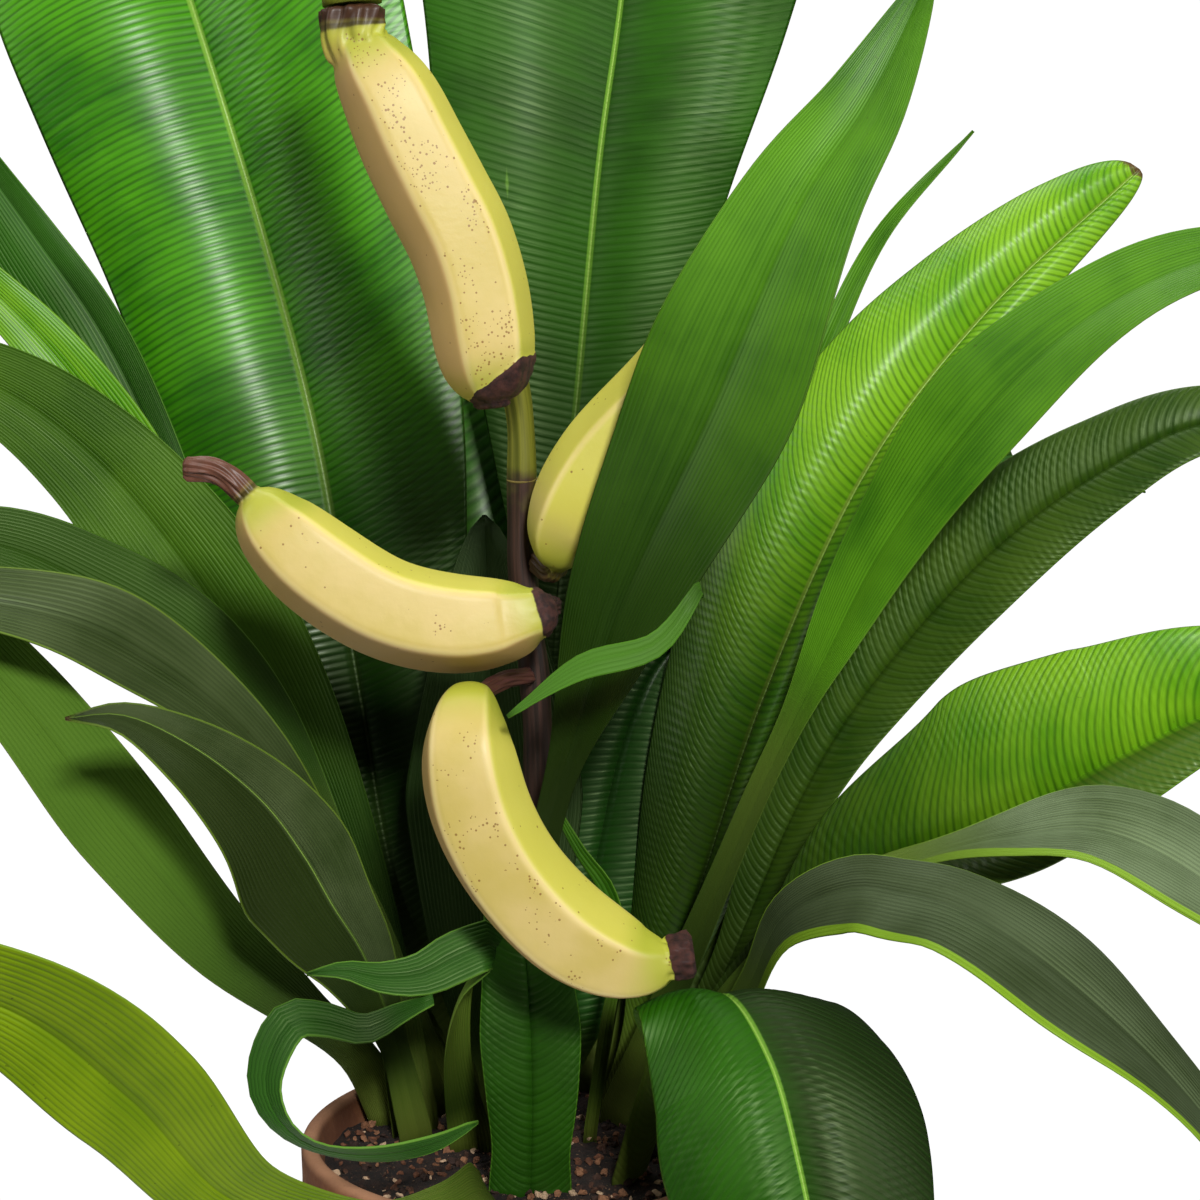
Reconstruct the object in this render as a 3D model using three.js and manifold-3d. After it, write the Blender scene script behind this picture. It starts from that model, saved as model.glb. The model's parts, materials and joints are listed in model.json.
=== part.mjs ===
// A dwarf banana plant in a round clay pot. Millimetres, +Z up. The origin is the centre of the pot's
// flat underside, +X is to the plant's right and -Y is its front, where the four fruits hang.
import * as THREE from 'three';
import { mergeVertices } from 'three/addons/utils/BufferGeometryUtils.js';
import Module from 'manifold-3d';

// Driving dimensions
const GAP = 0.3; // clearance between pieces that touch
const TORN_GAP = 2.1; // from a leaf's edge to the middle of a strip torn from it
const POT_HEIGHT = 180;
const RIM_RADIUS = 102;
const RIM_BAND = 26; // height of the collar round the mouth
const RIM_PROUD = 5; // the collar stands this far out from the wall
const RIM_ROUND = 2;
const BASE_RADIUS = 68;
const POT_SIDES = 32;
const WALL = 7;
const FLOOR = 9;
const HOLE_RADIUS = 6;
const HOLE_COUNT = 4;
const HOLE_CIRCLE = 34;
const SOIL_TOP = POT_HEIGHT - 11;
const STALK_HALF = 6.5; // half width of a leaf stalk
const STALK_THICK = 7;
const NECK_THICK = 3; // where the blade begins
const BLADE_THICK = 1.5;
const TIP_HALF = 0.8;
const TORN_HALF = 2.5; // where a torn strip leaves its leaf
const FRUIT_RADIUS = 22.5;
const FRUIT_RIDGES = 5;
const FRUIT_BLUNTNESS = 3.8; // higher is fuller at both ends
const FRUIT_FLAT = 0.88; // radius between two ridges, as a share of the radius at a ridge
const FRUIT_STALK_FOOT = 9;
const FRUIT_STALK_RADIUS = 6;
const FRUIT_STALK_END = 11;

const wasm = await Module();
wasm.setup();

const finish = (color, roughness) => new THREE.MeshStandardMaterial({ color, roughness, metalness: 0 });
const LEAF = finish('#3e8e1a', 0.35);
const STALK = finish('#7c8b2c', 0.5);
const FRUIT = finish('#e6d27e', 0.5);
const CLAY = finish('#a8734f', 0.85);
const SOIL = finish('#2a1810', 0.95);

const plant = new THREE.Group();

function addMesh(name, geometry, material) {
  const mesh = new THREE.Mesh(geometry, material);
  mesh.name = name;
  plant.add(mesh);
}

const vec = (point) => new THREE.Vector3(...point);
const mix = THREE.MathUtils.lerp;
const spineCurve = (points) => new THREE.CatmullRomCurve3(points.map(vec), false, 'centripetal');

// Vector at fraction t of a list of vectors that lie evenly along a leaf
function along(list, t) {
  const place = t * (list.length - 1);
  const first = Math.min(Math.floor(place), list.length - 2);
  return vec(list[first]).lerp(vec(list[first + 1]), place - first);
}

function indexed(positions, faces) {
  const geometry = new THREE.BufferGeometry();
  geometry.setAttribute('position', new THREE.Float32BufferAttribute(positions, 3));
  geometry.setIndex(faces);
  geometry.computeVertexNormals();
  return geometry;
}

// Closed skin through rings of equal length, with the same triangles over both ends
function skin(rings, endTriangles) {
  const size = rings[0].length;
  const faces = [];
  for (let row = 0; row + 1 < rings.length; row++) {
    for (let k = 0; k < size; k++) {
      const a = row * size + k;
      const b = row * size + ((k + 1) % size);
      faces.push(a, b, b + size, a, b + size, a + size);
    }
  }
  const last = (rings.length - 1) * size;
  for (const [a, b, c] of endTriangles) {
    faces.push(a, b, c, last + a, last + c, last + b);
  }
  return indexed(rings.flat().flatMap((p) => [p.x, p.y, p.z]), faces);
}

// ---- Leaves ----

// Half width of a leaf at fraction t: a stalk up to the neck, then a blade that is widest at the peak
function halfWidth({ wide, neck, peak, rise, fall, stalkHalf }, t) {
  if (t < neck) return stalkHalf;
  const s = Math.min(1, (t - neck) / (1 - neck));
  const blade = s < peak ? (s / peak) ** rise : ((1 - s) / (1 - peak)) ** fall;
  return Math.max(mix(stalkHalf, TIP_HALF, s), (wide / 2) * blade);
}

// Centre, directions and sizes of a leaf at fraction t of its midrib
function stationOf(leaf, curve, t) {
  const tangent = curve.getTangentAt(t);
  const across = along(leaf.across, t);
  across.addScaledVector(tangent, -across.dot(tangent)).normalize();
  const isStalk = t < leaf.neck;
  return {
    centre: curve.getPointAt(t),
    across,
    face: across.clone().cross(tangent),
    half: halfWidth(leaf, t),
    thick: isStalk ? mix(STALK_THICK, NECK_THICK, t / leaf.neck) : mix(NECK_THICK, BLADE_THICK, t),
    fold: THREE.MathUtils.degToRad(leaf.fold) * THREE.MathUtils.smoothstep(t, 0, leaf.neck + 0.1),
  };
}

// Point of a station, side from -1 at its left edge to 1 at its right edge, lift in thicknesses
function stationPoint(station, side, lift) {
  const reach = Math.abs(side) * station.half;
  const point = station.centre.clone();
  point.addScaledVector(station.across, Math.sign(side) * reach * Math.cos(station.fold));
  return point.addScaledVector(station.face, reach * Math.sin(station.fold) + lift * station.thick);
}

// Cross-section of a leaf: left edge, three points over the face, right edge, three points under it
const SECTION = [
  [-1, 0], [-0.5, 0.5], [0, 0.5], [0.5, 0.5], [1, 0], [0.5, -0.5], [0, -0.5], [-0.5, -0.5],
];
const SECTION_ENDS = [[0, 7, 1], [1, 7, 6], [1, 6, 2], [2, 6, 5], [2, 5, 3], [3, 5, 4]];

function leafGeometry(leaf) {
  const curve = spineCurve(leaf.spine);
  const rings = [];
  for (let row = 0; row <= leaf.rows; row++) {
    const station = stationOf(leaf, curve, row / leaf.rows);
    const ring = SECTION.map(([side, lift]) => {
      const share = side > 0 ? leaf.rightShare : 1;
      return stationPoint(station, side * share, lift);
    });
    if (row === 0 && leaf.rooted) ring.forEach((point) => { point.z = SOIL_TOP + GAP; });
    rings.push(ring);
  }
  return skin(rings, SECTION_ENDS);
}

const LEAF_DEFAULTS = {
  rows: 14, neck: 0.2, peak: 0.5, rise: 0.65, fall: 0.6, fold: 8, rightShare: 1, rooted: true,
  stalkHalf: STALK_HALF,
};

// The leaves that stand apart: the points that the midrib passes through from the soil up, the greatest
// width, and the way in which the right half lies, from the soil to the tip, when the upper face is seen
const SINGLE_LEAVES = [
  {
    name: 'leaf_back_left', wide: 188, neck: 0.12, peak: 0.76, rise: 0.52, fall: 0.45,
    rightShare: 1.14,
    spine: [[-16, 70, 169], [-64, 85, 263], [-83, 96, 358], [-103, 112, 476], [-127, 130, 566],
      [-165, 145, 689], [-206, 180, 800], [-226, 205, 850]],
    across: [[1, 0, 0], [1, -0.1, 0], [1, 0, 0.2]],
  },
  {
    name: 'leaf_back_centre', wide: 228, neck: 0.3, peak: 0.8, rise: 0.8, fall: 0.45,
    rightShare: 0.84,
    spine: [[4, 68, 169], [5, 86, 300], [10, 100, 400], [20, 112, 500], [31, 122, 615],
      [41, 135, 687], [52, 158, 800], [56, 172, 850]],
    across: [[1, 0, 0], [1, 0, 0], [1, 0, -0.1]],
  },
  {
    name: 'leaf_front_upright', wide: 73, neck: 0.35, peak: 0.5, rise: 0.55, fall: 0.7, fold: 12,
    spine: [[3, -26, 169], [4, -32, 300], [34, -66, 412], [47, -76, 445], [73, -84, 502],
      [110, -90, 588], [134, -88, 625], [160, -80, 678]],
    across: [[1, -0.2, 0], [1, -0.3, -0.3], [1, -0.4, -0.5]],
  },
  {
    name: 'leaf_spike', wide: 16, neck: 0.3, fold: 25, rows: 12,
    spine: [[42, 74, 169], [72, 90, 340], [135, 98, 520], [163, 103, 577], [205, 106, 625]],
    across: [[1, 0, -0.4], [1, -0.4, -0.6]],
  },
  {
    name: 'leaf_right_glossy', wide: 114, neck: 0.08, peak: 0.5, rise: 0.5, fall: 0.42,
    rightShare: 0.5,
    spine: [[40, 56, 169], [72, 52, 260], [106, 50, 367], [153, 55, 472], [205, 65, 540], [276, 75, 606]],
    across: [[1, -0.3, -0.2], [1, -0.5, -0.6], [0.6, -0.6, -1]],
  },
  {
    name: 'leaf_right_edge_on', wide: 56, neck: 0.35, peak: 0.5, rise: 0.7, fold: 10,
    spine: [[38, 36, 169], [80, 20, 276], [104, 12, 337], [129, 2, 393], [153, -7, 444],
      [198, -22, 510], [238, -30, 545], [276, -38, 564], [345, -50, 576]],
    across: [[0.8, -0.6, 0], [0.8, -0.8, -0.5], [0.4, -0.8, -0.7]],
  },
  {
    name: 'leaf_right_shaded', wide: 62, neck: 0.15, peak: 0.55, rise: 0.6, rightShare: 0.84,
    spine: [[57, 40, 169], [94, 26, 260], [121, 23, 326], [147, 20, 372], [202, 15, 438],
      [248, 10, 474], [290, 5, 495], [365, 0, 495]],
    across: [[0.8, -0.6, 0], [0.8, -0.5, -0.7], [0.3, -0.6, -1]],
  },
  {
    name: 'leaf_right_bright', wide: 122, neck: 0.3, peak: 0.45, rise: 0.7, fall: 0.6, fold: 26,
    rightShare: 0.6,
    spine: [[60, 18, 169], [95, -8, 255], [142, -25, 303], [200, -40, 332], [248, -52, 362],
      [290, -60, 383], [350, -68, 385]],
    across: [[0.8, -0.6, 0], [0.3, -0.5, -0.85], [0.2, -0.5, -0.85]],
  },
  {
    name: 'leaf_right_arching', wide: 68, neck: 0.48, peak: 0.5, rise: 1,
    spine: [[46, 6, 169], [91, -30, 256], [133, -58, 307], [166, -72, 325], [196, -84, 335],
      [230, -95, 340], [268, -105, 323], [302, -112, 288], [326, -116, 240]],
    across: [[0.6, -0.8, 0], [0.2, -0.9, -0.5], [-0.2, -0.8, -0.5], [-0.3, -0.8, -0.2]],
  },
  {
    name: 'leaf_right_drooping', wide: 50, neck: 0.22, peak: 0.55, rise: 0.8, rightShare: 1.6,
    spine: [[64, -2, 169], [94, -48, 262], [108, -62, 296], [133, -80, 313], [151, -92, 314],
      [173, -106, 311], [205, -126, 294], [259, -150, 244], [300, -165, 175]],
    across: [[0.6, -0.8, 0], [0.5, -0.8, -0.5], [-0.2, -0.8, -0.4], [-0.3, -0.8, 0]],
  },
  {
    name: 'leaf_over_rim', wide: 112, neck: 0.2, peak: 0.45, rise: 0.4, fall: 0.5, fold: -14,
    spine: [[44, -28, 169], [62, -48, 235], [82, -84, 268], [98, -118, 252], [108, -142, 218],
      [116, -158, 175], [122, -165, 120], [124, -166, 75]],
    across: [[-0.6, -0.6, 0], [-1, 0.1, 0], [-1, 0.1, 0.1], [-1, 0.1, 0.1]],
  },
  {
    name: 'leaf_centre_strap', wide: 44, neck: 0.02, peak: 0.4, rise: 0.2, fall: 0.5, fold: 6,
    stalkHalf: 18,
    spine: [[1, -44, 169], [2, -46, 219], [0, -44, 267], [-5, -40, 305], [-15, -36, 343]],
    across: [[1, 0, 0], [1, 0, 0]],
  },
  {
    name: 'leaf_heart', wide: 74, neck: 0.1, peak: 0.65, rise: 0.4, fall: 0.5, fold: -6,
    spine: [[8, 46, 169], [20, 58, 246], [30, 66, 291], [40, 71, 336], [54, 73, 372], [70, 74, 392]],
    across: [[1, 0, 0], [1, -0.2, -0.2], [0.9, -0.2, -0.6]],
  },
  {
    name: 'leaf_young', wide: 8, neck: 0.35, stalkHalf: 3, fold: 6,
    spine: [[26, 16, 169], [34, 14, 225], [40, 12, 262], [34, 10, 288], [22, 8, 306], [6, 6, 336]],
    across: [[1, 0, 0], [0.9, 0, 0.3], [0.8, 0, 0.6]],
  },
  {
    name: 'leaf_middle', wide: 84, neck: 0.1, peak: 0.5, rise: 0.4, fall: 0.6,
    spine: [[-14, 34, 169], [-17, 42, 250], [-18, 50, 330], [-20, 56, 400], [-22, 62, 450]],
    across: [[1, 0, 0], [1, 0.2, 0]],
  },
  {
    name: 'leaf_torn_tongue', wide: 23, neck: 0.5, peak: 0.4, rise: 0.3, fall: 0.7, fold: 4, rows: 18,
    spine: [[-26, 4, 169], [-31, -30, 225], [-24, -57, 266], [-12, -66, 285], [-27, -70, 281],
      [-42, -76, 275], [-59, -80, 275], [-73, -83, 279], [-88, -85, 278]],
    across: [[1, 0, 0], [0.6, 0.3, 0.4], [0.2, 0.6, 0.8], [0, 0.5, 0.8]],
  },
  {
    name: 'leaf_near_left', wide: 44, neck: 0.25, peak: 0.45, rise: 0.5, fall: 0.7,
    rightShare: 1.28,
    spine: [[-12, -50, 169], [-19, -80, 184], [-25, -97, 187], [-33, -116, 191], [-62, -165, 206],
      [-101, -205, 232], [-130, -236, 281],
      [-166, -262, 322], [-235, -290, 345], [-310, -305, 330]],
    across: [[-0.7, 0, 0.7], [0.6, 0.2, 0.8], [0.7, 0, 0.7], [0.4, 0.2, 0.8]],
  },
  {
    name: 'leaf_left_strap', wide: 46, neck: 0.13, peak: 0.4, rise: 0.35, fall: 0.5, fold: 5,
    spine: [[-66, 40, 169], [-80, 39, 199], [-108, 35, 226], [-140, 28, 257], [-181, 15, 314], [-225, 5, 379],
      [-266, -5, 425], [-340, -15, 458]],
    across: [[-0.7, 0, -0.7], [-0.7, -0.2, -0.7], [-0.4, -0.4, -0.8]],
  },
  {
    name: 'leaf_left_rolled_tip', wide: 78, neck: 0.16, peak: 0.45, rise: 0.6, fall: 0.8, fold: 10,
    rightShare: 0.6,
    spine: [[-50, 14, 169], [-62, 16, 218], [-75, 10, 258], [-87, 0, 283], [-98, -10, 308],
      [-114, -24, 336], [-141, -42, 364], [-167, -54, 379], [-188, -62, 379]],
    across: [[0.8, 0.4, 0.2], [0.7, 0.4, 0.6], [0.2, 0.6, 0.7]],
  },
  {
    name: 'leaf_left_grey', wide: 36, neck: 0.3, peak: 0.5, rightShare: 1.3,
    spine: [[-55, 27, 169], [-70, 35, 251], [-96, 28, 310], [-126, 12, 357], [-164, -2, 392],
      [-200, -15, 413], [-262, -32, 424], [-320, -42, 408]],
    across: [[0.8, 0.4, 0.2], [0.5, 0.5, 0.7], [0.2, 0.7, 0.6]],
  },
  {
    name: 'leaf_left_dark', wide: 50, neck: 0.3, peak: 0.5,
    spine: [[-53, 39, 169], [-80, 47, 272], [-115, 46, 346], [-149, 38, 389], [-192, 28, 420],
      [-233, 18, 441], [-312, -5, 450]],
    across: [[0.8, 0.4, 0.2], [0.6, 0.4, 0.7], [0.3, 0.6, 0.7]],
  },
  {
    name: 'leaf_left_broad', wide: 70, neck: 0.08, peak: 0.5, rise: 0.6,
    spine: [[-48, 50, 169], [-82, 57, 269], [-122, 62, 364], [-166, 62, 436], [-201, 60, 478],
      [-240, 56, 508], [-320, 42, 538]],
    across: [[0.9, 0, 0.2], [0.8, 0.1, 0.6], [0.6, 0.3, 0.8]],
  },
  {
    name: 'leaf_left_narrow', wide: 36, neck: 0.3, peak: 0.5,
    spine: [[-42, 59, 169], [-86, 67, 277], [-137, 71, 372], [-186, 76, 474], [-218, 78, 520],
      [-246, 78, 550], [-305, 74, 605]],
    across: [[0.9, 0, 0.3], [0.8, 0.1, 0.6], [0.7, 0.2, 0.7]],
  },
  {
    name: 'leaf_left_high', wide: 54, neck: 0.35, peak: 0.5, rightShare: 0.5,
    spine: [[-33, 67, 169], [-86, 76, 266], [-132, 86, 360], [-176, 98, 475], [-204, 103, 533],
      [-234, 106, 577], [-268, 108, 626], [-308, 110, 690]],
    across: [[0.9, 0, 0.3], [0.9, 0, 0.5], [0.9, 0, 0.5]],
  },
];

// Leaves that fan out at the back: foot on the soil, heading in degrees from +X towards +Y, reach and
// height of the arch, and how much of that height the tip keeps
const FAN_LEAVES = [
  { foot: [-41, 77], heading: 123, reach: 270, height: 380, droop: 0.8, wide: 80 },
  { foot: [-22, 84], heading: 108, reach: 250, height: 420, droop: 0.8, wide: 96 },
  { foot: [14, 85], heading: 88, reach: 270, height: 370, droop: 0.7, wide: 90 },
  { foot: [29, 80], heading: 62, reach: 250, height: 340, droop: 0.7, wide: 66 },
  { foot: [56, 64], heading: 40, reach: 265, height: 320, droop: 0.75, wide: 84 },
  { foot: [70, 46], heading: 20, reach: 240, height: 300, droop: 0.95, wide: 44 },
];
const ARCH = [[0, 0], [0.12, 0.45], [0.38, 0.85], [0.7, 1]]; // shares of reach and height

function fanLeaf({ foot, heading, reach, height, droop, wide }, index) {
  const turn = THREE.MathUtils.degToRad(heading);
  const [cos, sin] = [Math.cos(turn), Math.sin(turn)];
  const place = ([out, up]) => [
    foot[0] + out * reach * cos, foot[1] + out * reach * sin, SOIL_TOP + up * height,
  ];
  return {
    name: `leaf_fan_${index + 1}`,
    rows: 12,
    wide,
    spine: [...ARCH, [1, droop]].map(place),
    across: [[1, 0, 0], [sin, -cos, 0], [sin, -cos, 0]],
    neck: 0.3,
  };
}

// Strips torn from the edge of a leaf: where they leave it, and the points that they pass through
const TORN_STRIPS = [
  {
    name: 'leaf_curled_lip', parent: 'leaf_front_upright', at: 0.53, side: 1, wide: 12, neck: 0,
    peak: 0.6, rise: 0.5, fold: 4, rows: 14,
    spine: [[70, -98, 438], [53, -106, 417], [23, -108, 408], [-5, -110, 389]],
    across: [[0, -0.3, -0.8], [0, -0.5, -0.8], [0, -0.5, -0.8]],
  },
  {
    name: 'leaf_torn_loop', parent: 'leaf_torn_tongue', at: 0.78, side: -1, wide: 20, neck: 0,
    peak: 0.4, rise: 0.4, fall: 0.4, fold: 3, rows: 26,
    spine: [[-52, -79, 259], [-65, -82, 254], [-80, -86, 259], [-93, -92, 261], [-101, -97, 249],
      [-103, -100, 235], [-96, -104, 222], [-83, -107, 214], [-60, -106, 210], [-37, -100, 212],
      [-19, -86, 216]],
    across: [[0, 0.5, 0.8], [-0.4, 0.6, 0.7], [-0.8, 0.6, 0], [-0.3, 0.6, -0.7], [0, 0.5, -0.8]],
  },
];

// The strip's first point lies just off the parent's edge
function tornStrip(strip, parents) {
  const parent = parents.find((leaf) => leaf.name === strip.parent);
  const station = stationOf(parent, spineCurve(parent.spine), strip.at);
  const start = stationPoint(station, strip.side, 0);
  start.addScaledVector(station.across, strip.side * TORN_GAP);
  const spine = [start.toArray(), ...strip.spine];
  return { ...LEAF_DEFAULTS, stalkHalf: TORN_HALF, ...strip, rooted: false, spine };
}

const leaves = [...SINGLE_LEAVES, ...FAN_LEAVES.map(fanLeaf)].map((leaf) => ({
  ...LEAF_DEFAULTS, ...leaf,
}));
leaves.push(...TORN_STRIPS.map((strip) => tornStrip(strip, leaves)));
for (const leaf of leaves) addMesh(leaf.name, leafGeometry(leaf), LEAF);

// ---- Fruit ----

// Rod along a spine, with radius(t) at its ridges and the share flat of it between them
function rodGeometry({ spine, rows, sides, radius, flat, rooted }) {
  const curve = spineCurve(spine);
  const side = new THREE.Vector3(1, 0.3, 0.1);
  const rings = [];
  for (let row = 0; row <= rows; row++) {
    const t = row / rows;
    const tangent = curve.getTangentAt(t);
    side.addScaledVector(tangent, -side.dot(tangent)).normalize();
    const face = side.clone().cross(tangent);
    const centre = curve.getPointAt(t);
    const ring = Array.from({ length: sides }, (_, k) => {
      const angle = (2 * Math.PI * k) / sides;
      const reach = radius(t) * (k % 2 ? flat : 1);
      const point = centre.clone().addScaledVector(side, -Math.cos(angle) * reach);
      return point.addScaledVector(face, Math.sin(angle) * reach);
    });
    if (row === 0 && rooted) ring.forEach((point) => { point.z = SOIL_TOP + GAP; });
    rings.push(ring);
  }
  const ends = Array.from({ length: sides - 2 }, (_, k) => [0, k + 2, k + 1]);
  return skin(rings, ends);
}

// The stalk rises behind the fruit and hooks over to carry the top one
const FRUIT_STALK = [
  [0, 6, 169], [3, -4, 260], [5, -18, 340], [3, -22, 390], [-2, -22, 440], [-3, -24, 505], [-16, -28, 549],
  [-34, -30, 585], [-55, -32, 628], [-67, -34, 664], [-72, -40, 686], [-72, -57, 698], [-68, -74, 695],
  [-66, -80, 684], [-65, -80, 673], [-64, -80, 662],
];

function stalkRadius(t) {
  const lower = mix(FRUIT_STALK_FOOT, FRUIT_STALK_RADIUS, Math.min(1, t / 0.4));
  return t < 0.75 ? lower : mix(FRUIT_STALK_RADIUS, FRUIT_STALK_END, (t - 0.75) / 0.25);
}

// Each fruit: its spine, and the shares of its length that are bare stem at the start and the end
const FRUITS = [
  {
    name: 'fruit_top', head: 0.05, tail: 0.02, headRadius: 12, tailRadius: 8,
    spine: [[-63.9, -80, 661.2], [-63, -80, 650], [-58.5, -80, 641], [-50, -80, 627], [-41.5, -80, 609],
      [-32.5, -80, 591], [-23.5, -80, 573], [-17.5, -80, 554], [-14.5, -80, 536], [-12.5, -80, 520],
      [-11, -80, 507]],
  },
  {
    name: 'fruit_left', head: 0.14, tail: 0.19, headRadius: 5, tailRadius: 5,
    spine: [[-136, -66, 482], [-123, -66, 481], [-112, -66, 473], [-99, -66, 457], [-80, -66, 440],
      [-55, -66, 425], [-29, -66, 419], [-8, -66, 420], [4, -67, 423], [10, -61, 424], [10, -46, 423],
      [4.6, -27.4, 422]],
  },
  {
    name: 'fruit_right', head: 0.1, tail: 0.04, headRadius: 4.5, tailRadius: 7,
    spine: [[4.2, -26, 440], [12, -38, 437], [16, -44, 455], [33, -43, 483], [64, -42, 516],
      [90, -42, 553], [102, -42, 571]],
  },
  {
    name: 'fruit_low', head: 0.22, tail: 0.04, headRadius: 3.5, tailRadius: 7,
    spine: [[1.2, -28.6, 391], [-8, -45, 392], [-15, -62, 391], [-20, -78, 388], [-22, -90, 374],
      [-17, -92, 347], [-2, -92, 319], [22, -92, 295], [46, -92, 285], [69, -92, 288]],
  },
];

function fruitRadius({ head, tail, headRadius, tailRadius }, t) {
  const s = THREE.MathUtils.clamp((t - head) / (1 - head - tail), 0, 1);
  const body = FRUIT_RADIUS * Math.sqrt(1 - Math.abs(2 * s - 1) ** FRUIT_BLUNTNESS);
  return Math.max(body, mix(headRadius, tailRadius, s));
}

const stalk = { spine: FRUIT_STALK, rows: 26, sides: 8, radius: stalkRadius, flat: 1, rooted: true };
addMesh('fruit_stalk', rodGeometry(stalk), STALK);
for (const fruit of FRUITS) {
  const rod = {
    spine: fruit.spine, rows: 15, sides: 2 * FRUIT_RIDGES, radius: (t) => fruitRadius(fruit, t),
    flat: FRUIT_FLAT, rooted: false,
  };
  addMesh(fruit.name, rodGeometry(rod), FRUIT);
}

// ---- Pot and soil ----

const shoulder = POT_HEIGHT - RIM_BAND;
const mouth = RIM_RADIUS - WALL;
const innerRadius = (z) => mix(BASE_RADIUS - WALL, mouth, (z - FLOOR) / (POT_HEIGHT - FLOOR));

// Solid of revolution about Z through [radius, height] points that begin and end on the axis
function turned(profile) {
  const geometry = new THREE.LatheGeometry(profile.map(([r, z]) => new THREE.Vector2(r, z)), POT_SIDES);
  geometry.rotateX(Math.PI / 2);
  return geometry;
}

function toSolid(geometry) {
  geometry.deleteAttribute('normal');
  geometry.deleteAttribute('uv');
  const merged = mergeVertices(geometry, 1e-4);
  const corners = Array.from(merged.index.array);
  const faces = [];
  for (let k = 0; k < corners.length; k += 3) {
    const [a, b, c] = corners.slice(k, k + 3);
    if (a !== b && b !== c && c !== a) faces.push(a, b, c);
  }
  return new wasm.Manifold(new wasm.Mesh({
    numProp: 3,
    vertProperties: Float32Array.from(merged.attributes.position.array),
    triVerts: Uint32Array.from(faces),
  }));
}

function fromSolid(solid) {
  const { vertProperties, triVerts } = solid.getMesh();
  return indexed(Array.from(vertProperties), Array.from(triVerts));
}

function drainHole(index) {
  const turn = (2 * Math.PI * (index + 0.5)) / HOLE_COUNT;
  const hole = new THREE.CylinderGeometry(HOLE_RADIUS, HOLE_RADIUS, 3 * FLOOR, 12);
  hole.rotateX(Math.PI / 2);
  hole.translate(HOLE_CIRCLE * Math.cos(turn), HOLE_CIRCLE * Math.sin(turn), FLOOR / 2);
  return toSolid(hole);
}

let pot = toSolid(turned([
  [0, 0], [BASE_RADIUS, 0], [RIM_RADIUS - RIM_PROUD, shoulder], [RIM_RADIUS, shoulder],
  [RIM_RADIUS, POT_HEIGHT - RIM_ROUND], [RIM_RADIUS - RIM_ROUND, POT_HEIGHT], [mouth, POT_HEIGHT],
  [BASE_RADIUS - WALL, FLOOR], [0, FLOOR],
]));
for (let index = 0; index < HOLE_COUNT; index++) pot = pot.subtract(drainHole(index));
addMesh('pot', fromSolid(pot), CLAY);

const soilBase = FLOOR + GAP;
addMesh('soil', fromSolid(toSolid(turned([
  [0, soilBase], [innerRadius(soilBase) - 2 * GAP, soilBase],
  [innerRadius(SOIL_TOP) - 2 * GAP, SOIL_TOP], [0, SOIL_TOP],
]))), SOIL);

export default plant;
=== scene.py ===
"""A dwarf banana plant in a clay pot: leaves, fruit stalk, fruit, potting mix and pot, in metres, +Z up."""

import json
import math

import bpy
import numpy as np
from bpy.props import FloatProperty, FloatVectorProperty, IntProperty, PointerProperty
from mathutils import Matrix, Vector, noise as solid_noise

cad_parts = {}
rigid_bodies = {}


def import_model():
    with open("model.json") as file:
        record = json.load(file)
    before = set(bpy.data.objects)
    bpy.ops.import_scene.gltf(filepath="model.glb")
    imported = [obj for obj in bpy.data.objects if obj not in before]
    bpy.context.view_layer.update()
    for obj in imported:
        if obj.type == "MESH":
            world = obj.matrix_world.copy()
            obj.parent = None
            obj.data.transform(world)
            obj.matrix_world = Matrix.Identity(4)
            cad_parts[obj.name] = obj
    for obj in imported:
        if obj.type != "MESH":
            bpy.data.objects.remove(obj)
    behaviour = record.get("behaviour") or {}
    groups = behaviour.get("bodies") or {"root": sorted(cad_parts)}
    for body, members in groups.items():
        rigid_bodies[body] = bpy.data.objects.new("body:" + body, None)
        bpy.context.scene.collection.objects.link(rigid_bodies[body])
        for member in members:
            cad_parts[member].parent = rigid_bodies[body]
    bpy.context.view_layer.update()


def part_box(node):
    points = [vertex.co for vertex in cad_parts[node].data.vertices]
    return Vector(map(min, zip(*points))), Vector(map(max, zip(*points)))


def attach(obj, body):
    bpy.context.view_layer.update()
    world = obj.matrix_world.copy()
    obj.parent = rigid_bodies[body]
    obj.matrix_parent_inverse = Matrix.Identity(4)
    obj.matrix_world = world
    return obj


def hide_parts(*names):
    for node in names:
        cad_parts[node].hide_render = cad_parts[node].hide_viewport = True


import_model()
POT_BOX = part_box("pot")
SOIL_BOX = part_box("soil")

bl_info = {
    "name": "Potted banana plant",
    "version": (1, 0, 0),
    "blender": (4, 5, 0),
    "location": "3D View > Sidebar > Banana plant",
    "description": "Builds a dwarf banana plant in a clay pot, piece by piece",
    "category": "Add Mesh",
}

MM = 0.001
BODY = "root"


# ---- Colours and nodes ----

def linear(text):
    """Linear colour of an sRGB hex value."""
    parts = [int(text[k:k + 2], 16) / 255 for k in (1, 3, 5)]
    return tuple(c / 12.92 if c <= 0.04045 else ((c + 0.055) / 1.055) ** 2.4 for c in parts) + (1.0,)


def add(tree, kind, settings=None, inputs=None):
    """Add a node, set its settings and its inputs (values or other nodes' sockets) and return it."""
    node = tree.nodes.new(kind)
    for key, value in (settings or {}).items():
        setattr(node, key, value)
    for key, value in (inputs or {}).items():
        if isinstance(value, bpy.types.NodeSocket):
            tree.links.new(value, node.inputs[key])
        else:
            node.inputs[key].default_value = value
    return node


def maths(tree, operation, a, b=0.0, c=0.0):
    """Result of arithmetic on numbers or sockets."""
    return add(tree, "ShaderNodeMath", {"operation": operation}, {0: a, 1: b, 2: c}).outputs[0]


def stored(tree, name):
    """Number stored on the piece under that name."""
    return add(tree, "ShaderNodeAttribute", {"attribute_name": name}).outputs["Fac"]


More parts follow.
